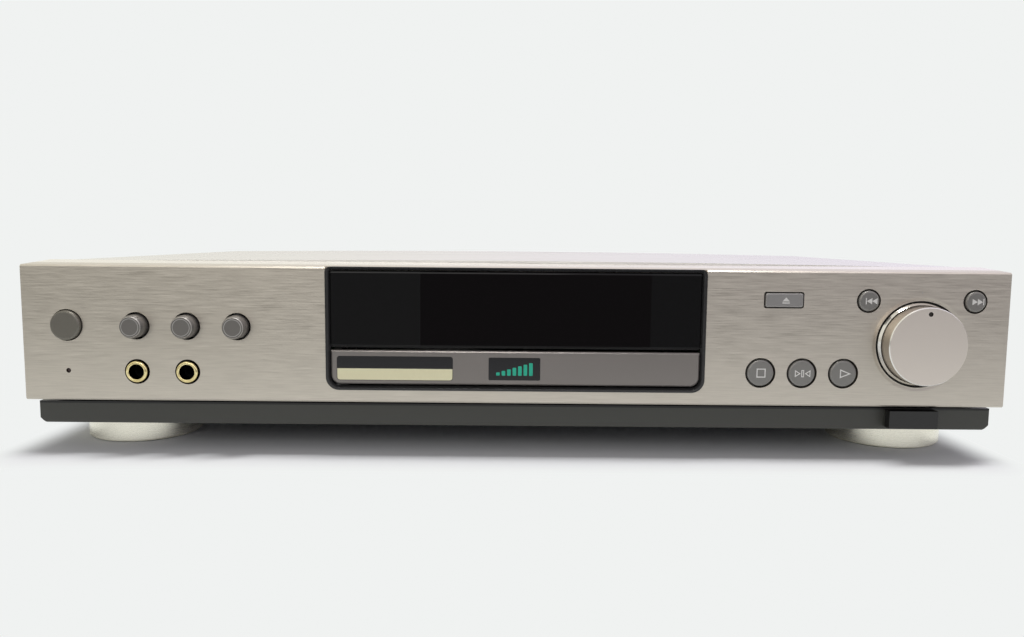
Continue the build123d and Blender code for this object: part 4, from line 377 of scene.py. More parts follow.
# Handling: broad faint smears and settled dust that dull a surface unevenly.
handling, source, result = effect_group(
    "handling", [("Patch", "NodeSocketFloat", 0.04), ("Amount", "NodeSocketFloat", 0.5)],
    [("Mask", "NodeSocketFloat")])
nodes, links = handling.nodes, handling.links
smears = nodes.new("ShaderNodeTexNoise")
smears.inputs["Detail"].default_value = 4.0
smears.inputs["Distortion"].default_value = 0.8
links.new(nodes.new("ShaderNodeTexCoord").outputs["Object"], smears.inputs["Vector"])
links.new(math_node(nodes, links, "DIVIDE", 1.0, source.outputs["Patch"]), smears.inputs["Scale"])
patches = fade(nodes, links, smears.outputs["Fac"], start=0.42, end=0.68)
links.new(math_node(nodes, links, "MULTIPLY", patches, source.outputs["Amount"]),
          result.inputs["Mask"])

cover_paint, nodes, links, shader = new_material(
    "champagne cover paint", COVER_PAINT, metallic=0.55, roughness=0.35, coat=0.8)
shader.inputs["Coat Roughness"].default_value = COVER_COAT_ROUGH
flake = place_group(nodes, fine_grain, Size=0.0003)
worn = place_group(nodes, handling, Patch=0.09, Amount=0.6)
flaked = blend_colours(nodes, links, flake.outputs["Tone"], COVER_PAINT_DARK, COVER_PAINT)
# Painted highlight: the front edge of the sheet is painted near white.
back = position_axes(nodes, links)["Y"]
on_edge_highlight = math_node(nodes, links, "LESS_THAN", back, COVER_FRONT_Y + SHEET_END)
links.new(blend_colours(nodes, links, on_edge_highlight, flaked, COVER_EDGE_HIGHLIGHT),
          shader.inputs["Base Color"])
links.new(vary(nodes, links, worn.outputs["Mask"], low=0.32, high=0.42), shader.inputs["Roughness"])
bump(nodes, links, shader, flake.outputs["Height"], depth=0.000008)
dress("top_cover", cover_paint)

# The plinth trim is a charcoal moulding under the panel, satin, with a blacker gloss block that
# stands out of its front near the right end. A band along its top edge, sunk under the panel, is
# painted black: painted shade.
PLINTH_GREY = (0.046, 0.047, 0.040, 1)
PLINTH_GREY_LIGHT = (0.054, 0.055, 0.048, 1)
RECESS_SHADE_BLACK = (0.006, 0.006, 0.006, 1)
BLOCK_BLACK = (0.008, 0.0075, 0.0075, 1)
BLOCK_LEFT = 0.1654
BLOCK_RIGHT = 0.1872
BLOCK_FRONT = -0.1286
PLINTH_ROUGH = 0.42
BLOCK_ROUGH = 0.22
SHADE_BAND_HEIGHT = 0.0009

plinth_plastic, nodes, links, shader = new_material(
    "charcoal plinth moulding", PLINTH_GREY, metallic=0.0, roughness=PLINTH_ROUGH)
grained = place_group(nodes, fine_grain, Size=0.00025, Softness=0.7)
across, back, height = position_axes(nodes, links)[:3]
on_block = math_node(nodes, links, "MULTIPLY",
                     math_node(nodes, links, "GREATER_THAN", across, BLOCK_LEFT),
                     math_node(nodes, links, "LESS_THAN", across, BLOCK_RIGHT))
on_block = math_node(nodes, links, "MULTIPLY", on_block,
                     math_node(nodes, links, "LESS_THAN", back, BLOCK_FRONT))
greys = blend_colours(nodes, links, grained.outputs["Tone"], PLINTH_GREY, PLINTH_GREY_LIGHT)
plinth_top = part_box("plinth_trim")[1].z
# Painted shade: the top band under the panel is painted near black.
in_painted_shade = math_node(nodes, links, "GREATER_THAN", height, plinth_top - SHADE_BAND_HEIGHT)
greys = blend_colours(nodes, links, in_painted_shade, greys, RECESS_SHADE_BLACK)
links.new(blend_colours(nodes, links, on_block, greys, BLOCK_BLACK), shader.inputs["Base Color"])
links.new(vary(nodes, links, on_block, PLINTH_ROUGH, BLOCK_ROUGH), shader.inputs["Roughness"])
bump(nodes, links, shader, grained.outputs["Height"], depth=0.00002)
dress("plinth_trim", plinth_plastic)

# Four feet: hollow mouldings metallised pale gold, turned-looking, each on a dark rubber pad that
# is glued into its recess, with a screw up into the chassis.
FOOT_GOLD = (0.97, 0.94, 0.82, 1)
FOOT_GOLD_DARK = (0.90, 0.87, 0.75, 1)
FOOT_TURNING = (60.0, 60.0, 3500.0)
RUBBER_BLACK = (0.022, 0.022, 0.023, 1)

foot_metal, nodes, links, shader = new_material(
    "metallised foot", FOOT_GOLD, metallic=0.9, roughness=0.28)
turning = place_group(nodes, brush_marks, Stretch=FOOT_TURNING, Contrast=1.2)
links.new(blend_colours(nodes, links, turning.outputs["Tone"], FOOT_GOLD_DARK, FOOT_GOLD),
          shader.inputs["Base Color"])
links.new(vary(nodes, links, turning.outputs["Tone"], low=0.22, high=0.32),
          shader.inputs["Roughness"])
bump(nodes, links, shader, turning.outputs["Height"], depth=0.000005)
dress("foot_shells", foot_metal)

dark_rubber, nodes, links, shader = new_material(
    "dark rubber", RUBBER_BLACK, metallic=0.0, roughness=0.75, specular=0.3)
grained = place_group(nodes, fine_grain, Size=0.0006)
links.new(vary(nodes, links, grained.outputs["Tone"], low=0.62, high=0.85),
          shader.inputs["Roughness"])
bump(nodes, links, shader, grained.outputs["Height"], depth=0.00004)
for rubber_part in ("foot_pads", "loader_grommets", "loading_belt"):
    dress(rubber_part, dark_rubber)

# The window surround is a charcoal moulding with a polished rim that stands a millimetre proud of
# the panel. It clips into the notch in the panel from the front.
SURROUND_BLACK = (0.020, 0.020, 0.021, 1)
SURROUND_BLACK_LIGHT = (0.030, 0.030, 0.031, 1)

surround_plastic, nodes, links, shader = new_material(
    "surround moulding", SURROUND_BLACK, metallic=0.0, roughness=0.26)
grained = place_group(nodes, fine_grain, Size=0.0012)
links.new(blend_colours(nodes, links, grained.outputs["Tone"], SURROUND_BLACK,
                        SURROUND_BLACK_LIGHT), shader.inputs["Base Color"])
links.new(vary(nodes, links, grained.outputs["Tone"], low=0.2, high=0.3),
          shader.inputs["Roughness"])
dress("display_surround", surround_plastic)

# The display window is polished smoked acrylic. A dark grey mask is printed on its back, and the
# clear part in front of the display tube looks blacker than the mask.
WINDOW_MASK = (0.0086, 0.0086, 0.0090, 1)
WINDOW_MASK_RIGHT = (0.0056, 0.0056, 0.0062, 1)
WINDOW_CLEAR = (0.0016, 0.0009, 0.0014, 1)
CLEAR_LEFT = -0.0415
CLEAR_RIGHT = 0.0588
MASK_BLUR = 0.0001

smoked_acrylic, nodes, links, shader = new_material(
    "smoked acrylic", WINDOW_MASK, metallic=0.0, roughness=0.04, specular=0.25)
across, back, height = position_axes(nodes, links)[:3]
left_edge = fade(nodes, links, across, CLEAR_LEFT - MASK_BLUR, CLEAR_LEFT + MASK_BLUR)
right_edge = fade(nodes, links, across, CLEAR_RIGHT - MASK_BLUR, CLEAR_RIGHT + MASK_BLUR)
clear_part = math_node(nodes, links, "SUBTRACT", left_edge, right_edge, clamp=True)
mask_ink = blend_colours(nodes, links, right_edge, WINDOW_MASK, WINDOW_MASK_RIGHT)
links.new(blend_colours(nodes, links, clear_part, mask_ink, WINDOW_CLEAR),
          shader.inputs["Base Color"])
smeared = place_group(nodes, handling, Patch=0.03, Amount=1.0)
links.new(vary(nodes, links, smeared.outputs["Mask"], low=0.03, high=0.07),
          shader.inputs["Roughness"])
dress("display_window", smoked_acrylic)

# The tray's front plate is a moulding in dark pewter paint. Two blank labels lie on it: a two-tone
# one at the left and a small black one with rising bars near the middle.
PEWTER = (0.220, 0.201, 0.188, 1)
PEWTER_LIGHT = (0.262, 0.243, 0.230, 1)
LABEL_BLACK = (0.008, 0.008, 0.010, 1)
LABEL_CREAM = (0.940, 0.900, 0.600, 1)
LABEL_GREEN = (0.020, 0.520, 0.340, 1)
LABEL_THICKNESS = 0.00008
INK_THICKNESS = 0.00003
SKIN_GAP = 0.00002
FLOOR_TO_PANEL = 0.024
LONG_LABEL_X = (-0.0780, -0.0273)
LONG_LABEL_Z = (FLOOR_TO_PANEL + 0.01005, FLOOR_TO_PANEL + 0.0207)
LONG_LABEL_CORNER = 0.0012
BAND_HEIGHT = 0.0052
BAND_MARGIN = 0.0002
BAND_CORNER = 0.0011
SMALL_LABEL_X = (-0.0117, 0.0109)
SMALL_LABEL_Z = (FLOOR_TO_PANEL + 0.0105, FLOOR_TO_PANEL + 0.0205)
SMALL_LABEL_CORNER = 0.0006
BAR_COUNT = 7
FIRST_BAR_X = -0.0084
BARS_LOW_Z = FLOOR_TO_PANEL + 0.0126
BAR_PITCH = 0.0024
BAR_WIDTH = 0.0016
BAR_HEIGHT = 0.0014
BAR_RISE = 0.0007
BAR_CORNER = 0.0003
TRAY_FACE_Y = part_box("tray_front")[0].y


def metallic_paint(name, dark, light, roughness, metallic=0.6):
    """Satin paint or plastic with fine metal flake in it."""
    material, nodes, links, shader = new_material(name, light, metallic, roughness)
    flake = place_group(nodes, fine_grain, Size=0.00022, Softness=0.8)
    smear = place_group(nodes, handling, Patch=0.02, Amount=0.5)
    links.new(blend_colours(nodes, links, flake.outputs["Tone"], dark, light),
              shader.inputs["Base Color"])
    links.new(vary(nodes, links, smear.outputs["Mask"], roughness - 0.03, roughness + 0.06),
              shader.inputs["Roughness"])
    bump(nodes, links, shader, flake.outputs["Height"], depth=0.000008)
    return material


def rounded_corners(left, right, low, high, radius, steps=6):
    """Outline of a rounded rectangle in X and Z, counter-clockwise from the front."""
    points = []
    centres = ((right - radius, low + radius, -90), (right - radius, high - radius, 0),
               (left + radius, high - radius, 90), (left + radius, low + radius, 180))
    for x, z, start in centres:
        for step in range(steps + 1):
            angle = math.radians(start + 90 * step / steps)
            points.append((x + radius * math.cos(angle), z + radius * math.sin(angle)))
    return points


def flat_piece(name, outlines, face_y, thickness, material, body):
    """Thin plate with the given (x, z) outlines, its back on the plane Y = face_y."""
    shape = bmesh.new()
    for points in outlines:
        corners = [shape.verts.new((x, face_y + SKIN_GAP, z)) for x, z in points]
        face = shape.faces.new(corners)
        lifted = bmesh.ops.extrude_face_region(shape, geom=[face])["geom"]
        moved = [v for v in lifted if isinstance(v, bmesh.types.BMVert)]
        bmesh.ops.translate(shape, verts=moved, vec=(0, -thickness, 0))
    bmesh.ops.recalc_face_normals(shape, faces=shape.faces)
    mesh = bpy.data.meshes.new(name)
    shape.to_mesh(mesh)
    shape.free()
    mesh.materials.append(material)
    piece = link_object(name, mesh)
    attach(piece, body)
    return piece


def print_ink(name, colour, roughness=0.5):
    """Printed ink, slightly uneven."""
    material, nodes, links, shader = new_material(name, colour, metallic=0.0, roughness=roughness)
    grained = place_group(nodes, fine_grain, Size=0.0003)
    darker = tuple(0.88 * channel for channel in colour[:3]) + (1,)
    links.new(blend_colours(nodes, links, grained.outputs["Tone"], darker, colour),
              shader.inputs["Base Color"])
    links.new(vary(nodes, links, grained.outputs["Tone"], roughness - 0.06, roughness + 0.06),
              shader.inputs["Roughness"])
    return material


tray_paint = metallic_paint("pewter tray paint", PEWTER, PEWTER_LIGHT, roughness=0.36)
dress("tray_front", tray_paint)
black_film = print_ink("black label film", LABEL_BLACK, roughness=0.25)
cream_film = print_ink("cream label film", LABEL_CREAM, roughness=0.35)
green_ink = print_ink("green label ink", LABEL_GREEN, roughness=0.35)

flat_piece("long_label", [rounded_corners(*LONG_LABEL_X, *LONG_LABEL_Z, LONG_LABEL_CORNER)],
           TRAY_FACE_Y, LABEL_THICKNESS, black_film, "tray")
band_left = LONG_LABEL_X[0] + BAND_MARGIN
band_right = LONG_LABEL_X[1] - BAND_MARGIN
band_low = LONG_LABEL_Z[0] + BAND_MARGIN
band_high = LONG_LABEL_Z[0] + BAND_HEIGHT
outline = rounded_corners(band_left, band_right, band_low, LONG_LABEL_Z[1], BAND_CORNER)
corner_points = len(outline) // 4
band = (outline[-corner_points:] + outline[:corner_points]
        + [(band_right, band_high), (band_left, band_high)])
flat_piece("long_label_band", [band], TRAY_FACE_Y - LABEL_THICKNESS, INK_THICKNESS, cream_film,
           "tray")
flat_piece("small_label", [rounded_corners(*SMALL_LABEL_X, *SMALL_LABEL_Z, SMALL_LABEL_CORNER)],
           TRAY_FACE_Y, LABEL_THICKNESS, black_film, "tray")
bars = []
for index in range(BAR_COUNT):
    bar_left = FIRST_BAR_X + index * BAR_PITCH
    bar_high = BARS_LOW_Z + BAR_HEIGHT + index * BAR_RISE
    bars.append(rounded_corners(bar_left, bar_left + BAR_WIDTH, BARS_LOW_Z, bar_high, BAR_CORNER,
                                steps=2))
flat_piece("small_label_bars", bars, TRAY_FACE_Y - LABEL_THICKNESS, INK_THICKNESS, green_ink,
           "tray")

# The keys are mouldings in warm grey satin paint, each with a pale symbol printed on its cap. They
# slide in holes in the panel and press switches on the board behind.
KEY_GREY = (0.222, 0.216, 0.203, 1)
KEY_GREY_LIGHT = (0.264, 0.258, 0.244, 1)
EJECT_GREY = (0.300, 0.293, 0.286, 1)
EJECT_GREY_LIGHT = (0.352, 0.344, 0.336, 1)
POWER_GREY = (0.165, 0.156, 0.132, 1)
POWER_GREY_LIGHT = (0.196, 0.186, 0.158, 1)
SYMBOL_GREY = (0.860, 0.850, 0.820, 1)
SYMBOL_THICKNESS = 0.00004
STROKE = 0.00048
FINE_STROKE = 0.8 * STROKE
STOP_HALF = 0.0020
PAUSE_HALF = 0.0016
SKIP_HALF = 0.00138

key_paint = metallic_paint("warm grey key paint", KEY_GREY, KEY_GREY_LIGHT, roughness=0.4,
                           metallic=0.5)
symbol_ink = print_ink("pale symbol ink", SYMBOL_GREY)
keys = {"power_button": "power_key", "eject_button": "eject_key", "stop_button": "stop_key",
        "pause_button": "pause_key", "play_button": "play_key",
        "skip_back_button": "skip_back_key", "skip_forward_button": "skip_forward_key"}
for key_name in keys:
    dress(key_name, key_paint)
dress("power_button", metallic_paint("darker grey key paint", POWER_GREY, POWER_GREY_LIGHT,
                                     roughness=0.4, metallic=0.5))
dress("eject_button", metallic_paint("paler grey key paint", EJECT_GREY, EJECT_GREY_LIGHT,
                                     roughness=0.4, metallic=0.5))


def stroked(points, width):
    """Quads of a closed line of even width, drawn inside the given outline."""
    count = len(points)
    inner = []
    for index in range(count):
        before = Vector(points[index - 1])
        corner = Vector(points[index])
        after = Vector(points[(index + 1) % count])
        to_before = (before - corner).normalized()
        to_after = (after - corner).normalized()
        half_angle = to_before.angle(to_after) / 2
        inward = (to_before + to_after).normalized()
        inner.append(corner + inward * width / math.sin(half_angle))
    return [[points[i], points[(i + 1) % count], tuple(inner[(i + 1) % count]), tuple(inner[i])]
            for i in range(count)]


def symbol(node_name, shapes, shift=(0.0, 0.0)):
    """Prints shapes, drawn about the cap's centre in metres, on a key's face."""
    low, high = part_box(node_name)
    x = (low.x + high.x) / 2 + shift[0]
    z = (low.z + high.z) / 2 + shift[1]
    placed = [[(x + px, z + pz) for px, pz in shape] for shape in shapes]
    flat_piece(node_name.replace("button", "symbol"), placed, low.y, SYMBOL_THICKNESS, symbol_ink,
               keys[node_name])


def upright_box(left, right, low, high):
    """Outline of a box with square corners."""
    return [(left, low), (right, low), (right, high), (left, high)]


def arrow(base, tip, half):
    """Outline of a triangle that points along X, from its upright base to its tip."""
    if tip > base:
        return [(base, -half), (tip, 0.0), (base, half)]
    return [(tip, 0.0), (base, -half), (base, half)]


stop_box = upright_box(-STOP_HALF, STOP_HALF, -STOP_HALF, STOP_HALF)
pause_box = upright_box(-0.0006, 0.0006, -PAUSE_HALF, PAUSE_HALF)
symbol("stop_button", stroked(stop_box, STROKE), (0.0002, 0))
symbol("play_button", stroked(arrow(-0.0015, 0.0034, STOP_HALF), STROKE))
symbol("pause_button", stroked(arrow(-0.0034, -0.0009, PAUSE_HALF), FINE_STROKE)
       + stroked(pause_box, FINE_STROKE)
       + stroked(arrow(0.0034, 0.0009, PAUSE_HALF), FINE_STROKE), (0.0003, -0.0001))
symbol("skip_back_button", [upright_box(-0.0026, -0.0022, -SKIP_HALF, SKIP_HALF),
                            arrow(0.0002, -0.0021, SKIP_HALF),
                            arrow(0.0025, 0.0002, SKIP_HALF)], (0.0009, 0.0))
symbol("skip_forward_button", [arrow(-0.0025, -0.0002, SKIP_HALF),
                               arrow(-0.0002, 0.0021, SKIP_HALF),
                               upright_box(0.0022, 0.0026, -SKIP_HALF, SKIP_HALF)], (0.0007, 0.0))
symbol("eject_button", [[(-0.0016, -0.0005), (0.0016, -0.0005), (0.0, 0.0013)],
                        upright_box(-0.0016, 0.0016, -0.0014, -0.0009)], (0.0006, 0.0))

# The search dial is turned aluminium: a satin face with a cut bright rim, a polished wall and a
# chromed skirt. The wall is painted darker than the face: painted shade. Three short marks are
# printed round it on the panel.
DIAL_X = 0.17665
DIAL_Z = FLOOR_TO_PANEL + 0.0277
DIAL_FACE = (0.800, 0.740, 0.670, 1)
DIAL_FACE_DARK = (0.730, 0.672, 0.604, 1)
DIAL_WALL_SHADE = (0.520, 0.475, 0.425, 1)
DIAL_BRIGHT = (0.800, 0.780, 0.740, 1)
DIMPLE_SHADE = (0.060, 0.055, 0.050, 1)
DIMPLE_Z = DIAL_Z + 0.01405
DIMPLE_R = 0.00102
DIMPLE_DEPTH = 0.0010
WALL_START = (0.00038, 0.00045)
RIM_START = (0.01655, 0.01665)
SKIRT_START = (0.0069, 0.0071)
FACE_ROUGH = 0.40
WALL_POLISH = -0.18
RIM_POLISH = -0.22
SKIRT_POLISH = -0.12
RINGS_PER_METRE = 9000.0
MARK_GREY = (0.560, 0.545, 0.520, 1)
MARK_TURNS = (-60, 0, 60)
MARK_NEAR_R = 0.0222
MARK_FAR_R = 0.0232
MARK_HALF_WIDTH = 0.00015


def length_of(nodes, links, sideways, upwards):
    """Length of a step with these two parts."""
    squares = [math_node(nodes, links, "MULTIPLY", part, part) for part in (sideways, upwards)]
    return math_node(nodes, links, "SQRT", math_node(nodes, links, "ADD", *squares))


turned_metal, nodes, links, shader = new_material(
    "turned dial metal", DIAL_FACE, metallic=1.0, roughness=0.35)
dial_front_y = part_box("search_dial")[0].y
across, back, height = position_axes(nodes, links)[:3]
side_step = math_node(nodes, links, "SUBTRACT", across, DIAL_X)
rise_step = math_node(nodes, links, "SUBTRACT", height, DIAL_Z)
radius = length_of(nodes, links, side_step, rise_step)
rings = nodes.new("ShaderNodeTexNoise")
rings.noise_dimensions = "1D"
rings.inputs["Scale"].default_value = RINGS_PER_METRE
rings.inputs["Detail"].default_value = 2.0
links.new(radius, rings.inputs["W"])
face_tone = blend_colours(nodes, links, rings.outputs["Fac"], DIAL_FACE_DARK, DIAL_FACE)
depth_back = math_node(nodes, links, "SUBTRACT", back, dial_front_y)
on_wall = fade(nodes, links, depth_back, *WALL_START)
on_rim = math_node(nodes, links, "MULTIPLY", fade(nodes, links, radius, *RIM_START),
                   math_node(nodes, links, "SUBTRACT", 1.0, on_wall))
on_skirt = fade(nodes, links, depth_back, *SKIRT_START)
# Painted shade: the wall is painted darker than the face.
tone = blend_colours(nodes, links, on_wall, face_tone, DIAL_WALL_SHADE)
tone = blend_colours(nodes, links, on_rim, tone, DIAL_BRIGHT)
tone = blend_colours(nodes, links, on_skirt, tone, DIAL_BRIGHT)
# Painted shade: the finger dimple's hollow is painted near black.
dimple_step = math_node(nodes, links, "SUBTRACT", height, DIMPLE_Z)
from_dimple = length_of(nodes, links, side_step, dimple_step)
in_dimple = math_node(nodes, links, "MULTIPLY",
                      math_node(nodes, links, "LESS_THAN", from_dimple, DIMPLE_R),
                      math_node(nodes, links, "LESS_THAN", depth_back, DIMPLE_DEPTH))
tone = blend_colours(nodes, links, in_dimple, tone, DIMPLE_SHADE)
links.new(tone, shader.inputs["Base Color"])
rough = math_node(nodes, links, "MULTIPLY_ADD", on_wall, WALL_POLISH, FACE_ROUGH)
rough = math_node(nodes, links, "MULTIPLY_ADD", on_rim, RIM_POLISH, rough)
rough = math_node(nodes, links, "MULTIPLY_ADD", on_skirt, SKIRT_POLISH, rough)
links.new(rough, shader.inputs["Roughness"])
bump(nodes, links, shader, rings.outputs["Fac"], depth=0.000004)
dress("search_dial", turned_metal)

mark_ink = print_ink("pale mark ink", MARK_GREY)
marks_round_dial = []
for turn in MARK_TURNS:
    angle = math.radians(turn)
    outward = Vector((math.sin(angle), math.cos(angle)))
    half_width = Vector((outward.y, -outward.x)) * MARK_HALF_WIDTH
    near_end = Vector((DIAL_X, DIAL_Z)) + outward * MARK_NEAR_R
    far_end = Vector((DIAL_X, DIAL_Z)) + outward * MARK_FAR_R
    marks_round_dial.append([tuple(near_end - half_width), tuple(near_end + half_width),
                             tuple(far_end + half_width), tuple(far_end - half_width)])
PANEL_FACE_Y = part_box("fascia_panel")[0].y
flat_piece("dial_marks", marks_round_dial, PANEL_FACE_Y, SYMBOL_THICKNESS, mark_ink,
           "case")

# The three level knobs are mouldings in a darker grey than the keys, on the shafts of their
# controls. Two fine rings near where the face meets the chamfer are painted pale: painted
# highlights on those edges.
KNOB_GREY = (0.168, 0.160, 0.150, 1)
KNOB_GREY_LIGHT = (0.210, 0.200, 0.186, 1)
KNOB_RING_HIGHLIGHT = (0.520, 0.510, 0.490, 1)
FACE_RING_R = 0.00365
OUTER_RING_R = 0.00445
RING_HALF_WIDTH = 0.00011
KNOBS = ("mic_1_knob", "mic_2_knob", "echo_knob")

knob_paint, nodes, links, shader = new_material(
    "grey knob paint", KNOB_GREY, metallic=0.5, roughness=0.38)
knob_boxes = [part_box(name) for name in KNOBS]
knob_middles = [(low + high) / 2 for low, high in knob_boxes]
knob_pitch = knob_middles[1].x - knob_middles[0].x
across, back, height = position_axes(nodes, links)[:3]
from_first = math_node(nodes, links, "DIVIDE",
                       math_node(nodes, links, "SUBTRACT", across, knob_middles[0].x), knob_pitch)
from_nearest = math_node(nodes, links, "FRACT", math_node(nodes, links, "ADD", from_first, 0.5))
side_step = math_node(nodes, links, "MULTIPLY_ADD", from_nearest, knob_pitch, -knob_pitch / 2)
rise_step = math_node(nodes, links, "SUBTRACT", height, knob_middles[0].z)
from_axis = length_of(nodes, links, side_step, rise_step)
on_rings = []
for ring_r in (FACE_RING_R, OUTER_RING_R):
    off_ring = math_node(nodes, links, "ABSOLUTE",
                         math_node(nodes, links, "SUBTRACT", from_axis, ring_r))
    on_rings.append(math_node(nodes, links, "LESS_THAN", off_ring, RING_HALF_WIDTH))
# Painted highlights: two thin rings on each knob are painted pale.
highlight_rings = math_node(nodes, links, "MAXIMUM", *on_rings)
flake = place_group(nodes, fine_grain, Size=0.00035, Softness=0.8)
knob_colour = blend_colours(nodes, links, flake.outputs["Tone"], KNOB_GREY, KNOB_GREY_LIGHT)
links.new(blend_colours(nodes, links, highlight_rings, knob_colour, KNOB_RING_HIGHLIGHT),
          shader.inputs["Base Color"])
links.new(vary(nodes, links, flake.outputs["Tone"], low=0.34, high=0.44),
          shader.inputs["Roughness"])
bump(nodes, links, shader, flake.outputs["Height"], depth=0.00001)
for knob_name in KNOBS:
    dress(knob_name, knob_paint)

# The two microphone sockets are black mouldings behind the panel. A polished gilt ring lines the
# edge of each hole from the front.
GILT = (0.900, 0.780, 0.420, 1)
GILT_DARK = (0.700, 0.570, 0.260, 1)
GILT_SHADE = (0.200, 0.155, 0.060, 1)
GILT_SIDE = (0.00045, 0.0009)
SOCKET_BLACK = (0.012, 0.012, 0.012, 1)
SOCKET_BLACK_LIGHT = (0.018, 0.018, 0.018, 1)

gilt, nodes, links, shader = new_material("polished gilt", GILT, metallic=1.0, roughness=0.18)
smeared = place_group(nodes, handling, Patch=0.004, Amount=0.8)
ring_front_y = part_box("mic_jack_rings")[0].y
back = position_axes(nodes, links)["Y"]
behind_front = math_node(nodes, links, "SUBTRACT", back, ring_front_y)
# Painted shade: the side of each ring, behind its front, is painted dark brown.
on_ring_side = fade(nodes, links, behind_front, *GILT_SIDE)
ring_colour = blend_colours(nodes, links, smeared.outputs["Mask"], GILT, GILT_DARK)
links.new(blend_colours(nodes, links, on_ring_side, ring_colour, GILT_SHADE),
          shader.inputs["Base Color"])
links.new(vary(nodes, links, smeared.outputs["Mask"], low=0.14, high=0.26),
          shader.inputs["Roughness"])
dress("mic_jack_rings", gilt)


def moulded(name, colour, light, roughness, grain_size=0.0004, depth=0.00002):
    """Plain moulded plastic with a fine grain."""
    material, nodes, links, shader = new_material(name, colour, metallic=0.0, roughness=roughness)
    grained = place_group(nodes, fine_grain, Size=grain_size)
    links.new(blend_colours(nodes, links, grained.outputs["Tone"], colour, light),
              shader.inputs["Base Color"])
    links.new(vary(nodes, links, grained.outputs["Tone"], roughness - 0.08, roughness + 0.08),
              shader.inputs["Roughness"])
    bump(nodes, links, shader, grained.outputs["Height"], depth)
    return material


socket_plastic = moulded("socket black", SOCKET_BLACK, SOCKET_BLACK_LIGHT, roughness=0.5)
dress("mic_jacks", socket_plastic)

# The standby lamp is a moulded light pipe in dark red plastic, here unlit. It runs from the board
# behind to a small hole in the panel.
LAMP_RED = (0.020, 0.006, 0.006, 1)
LAMP_RED_LIGHT = (0.028, 0.008, 0.007, 1)

lamp_pipe = moulded("dark red light pipe", LAMP_RED, LAMP_RED_LIGHT, roughness=0.2,
                    grain_size=0.001, depth=0.000005)
dress("standby_lamp", lamp_pipe)

# The chassis pan and the rear panel are folded and punched from zinc-plated steel sheet. Dark
# plated screws hold the cover to them.
ZINC = (0.520, 0.525, 0.520, 1)
ZINC_DARK = (0.420, 0.425, 0.425, 1)
PAN_ZINC = (0.200, 0.203, 0.205, 1)
PAN_ZINC_DARK = (0.160, 0.163, 0.166, 1)
SCREW_PLATE = (0.110, 0.110, 0.115, 1)
SCREW_PLATE_DARK = (0.080, 0.080, 0.085, 1)


def sheet_metal(name, dark, light, roughness, patch):
    """Plated sheet with a faint mottled spangle."""
    material, nodes, links, shader = new_material(name, light, metallic=1.0, roughness=roughness)
    spangle = nodes.new("ShaderNodeTexVoronoi")
    spangle.inputs["Scale"].default_value = 1 / patch
    links.new(nodes.new("ShaderNodeTexCoord").outputs["Object"], spangle.inputs["Vector"])
    spangle_tone = nodes.new("ShaderNodeSeparateColor")
    links.new(spangle.outputs["Color"], spangle_tone.inputs[0])
    links.new(blend_colours(nodes, links, spangle_tone.outputs[0], dark, light),
              shader.inputs["Base Color"])
    links.new(vary(nodes, links, spangle_tone.outputs[1], roughness - 0.06, roughness + 0.08),
              shader.inputs["Roughness"])
    return material


zinc_sheet = sheet_metal("zinc-plated sheet", ZINC_DARK, ZINC, roughness=0.38, patch=0.006)
for sheet_part in ("rear_panel", "clamp_bridge", "rotary_controls"):
    dress(sheet_part, zinc_sheet)
dress("bottom_chassis", sheet_metal("dark zinc pan", PAN_ZINC_DARK, PAN_ZINC, roughness=0.45,
                                    patch=0.006))
dress("case_screws", sheet_metal("dark plated screw", SCREW_PLATE_DARK, SCREW_PLATE,
                                 roughness=0.3, patch=0.002))

# Rear sockets: nickel-plated sleeves on black blocks, each with a coloured insulator pressed flush
# into its end round the pin hole. The small round S-video sockets and the mains inlet are black.
NICKEL = (0.660, 0.650, 0.620, 1)
NICKEL_DARK = (0.540, 0.530, 0.500, 1)
SLEEVE_START_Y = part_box("rear_panel")[0].y
INSULATOR_R = 0.0033
SOCKET_PITCH = 0.017
FIRST_SOCKET_X = 0.189
LOW_ROW_Z = 0.033
ROW_PITCH = 0.015
INSULATORS = {"white": (0.700, 0.690, 0.650, 1), "red": (0.450, 0.020, 0.018, 1),
              "yellow": (0.700, 0.480, 0.030, 1), "orange": (0.620, 0.180, 0.020, 1),
              "black": (0.015, 0.015, 0.015, 1)}
LOW_ROW = ("orange", "yellow", "white", "white", "black", "white")
HIGH_ROW = ("black", "yellow", "red", "red", "black", "red")

sleeve_metal, nodes, links, shader = new_material(
    "nickel-plated phono sleeve", NICKEL, metallic=1.0, roughness=0.22)
across, back, height = position_axes(nodes, links)[:3]
column = math_node(nodes, links, "DIVIDE",
                   math_node(nodes, links, "SUBTRACT", FIRST_SOCKET_X, across), SOCKET_PITCH)
from_first = math_node(nodes, links, "ADD", column, 0.5)
from_nearest = math_node(nodes, links, "FRACT", from_first)
side_step = math_node(nodes, links, "MULTIPLY_ADD", from_nearest, SOCKET_PITCH, -SOCKET_PITCH / 2)
on_high_row = math_node(nodes, links, "GREATER_THAN", height, LOW_ROW_Z + ROW_PITCH / 2)
rise_step = math_node(nodes, links, "MULTIPLY_ADD", on_high_row, -ROW_PITCH,
                      math_node(nodes, links, "SUBTRACT", height, LOW_ROW_Z))
from_pin = length_of(nodes, links, side_step, rise_step)
outside = math_node(nodes, links, "GREATER_THAN", back, SLEEVE_START_Y)
on_insulator = math_node(nodes, links, "MULTIPLY", outside,
                         math_node(nodes, links, "LESS_THAN", from_pin, INSULATOR_R))
row_colours = []
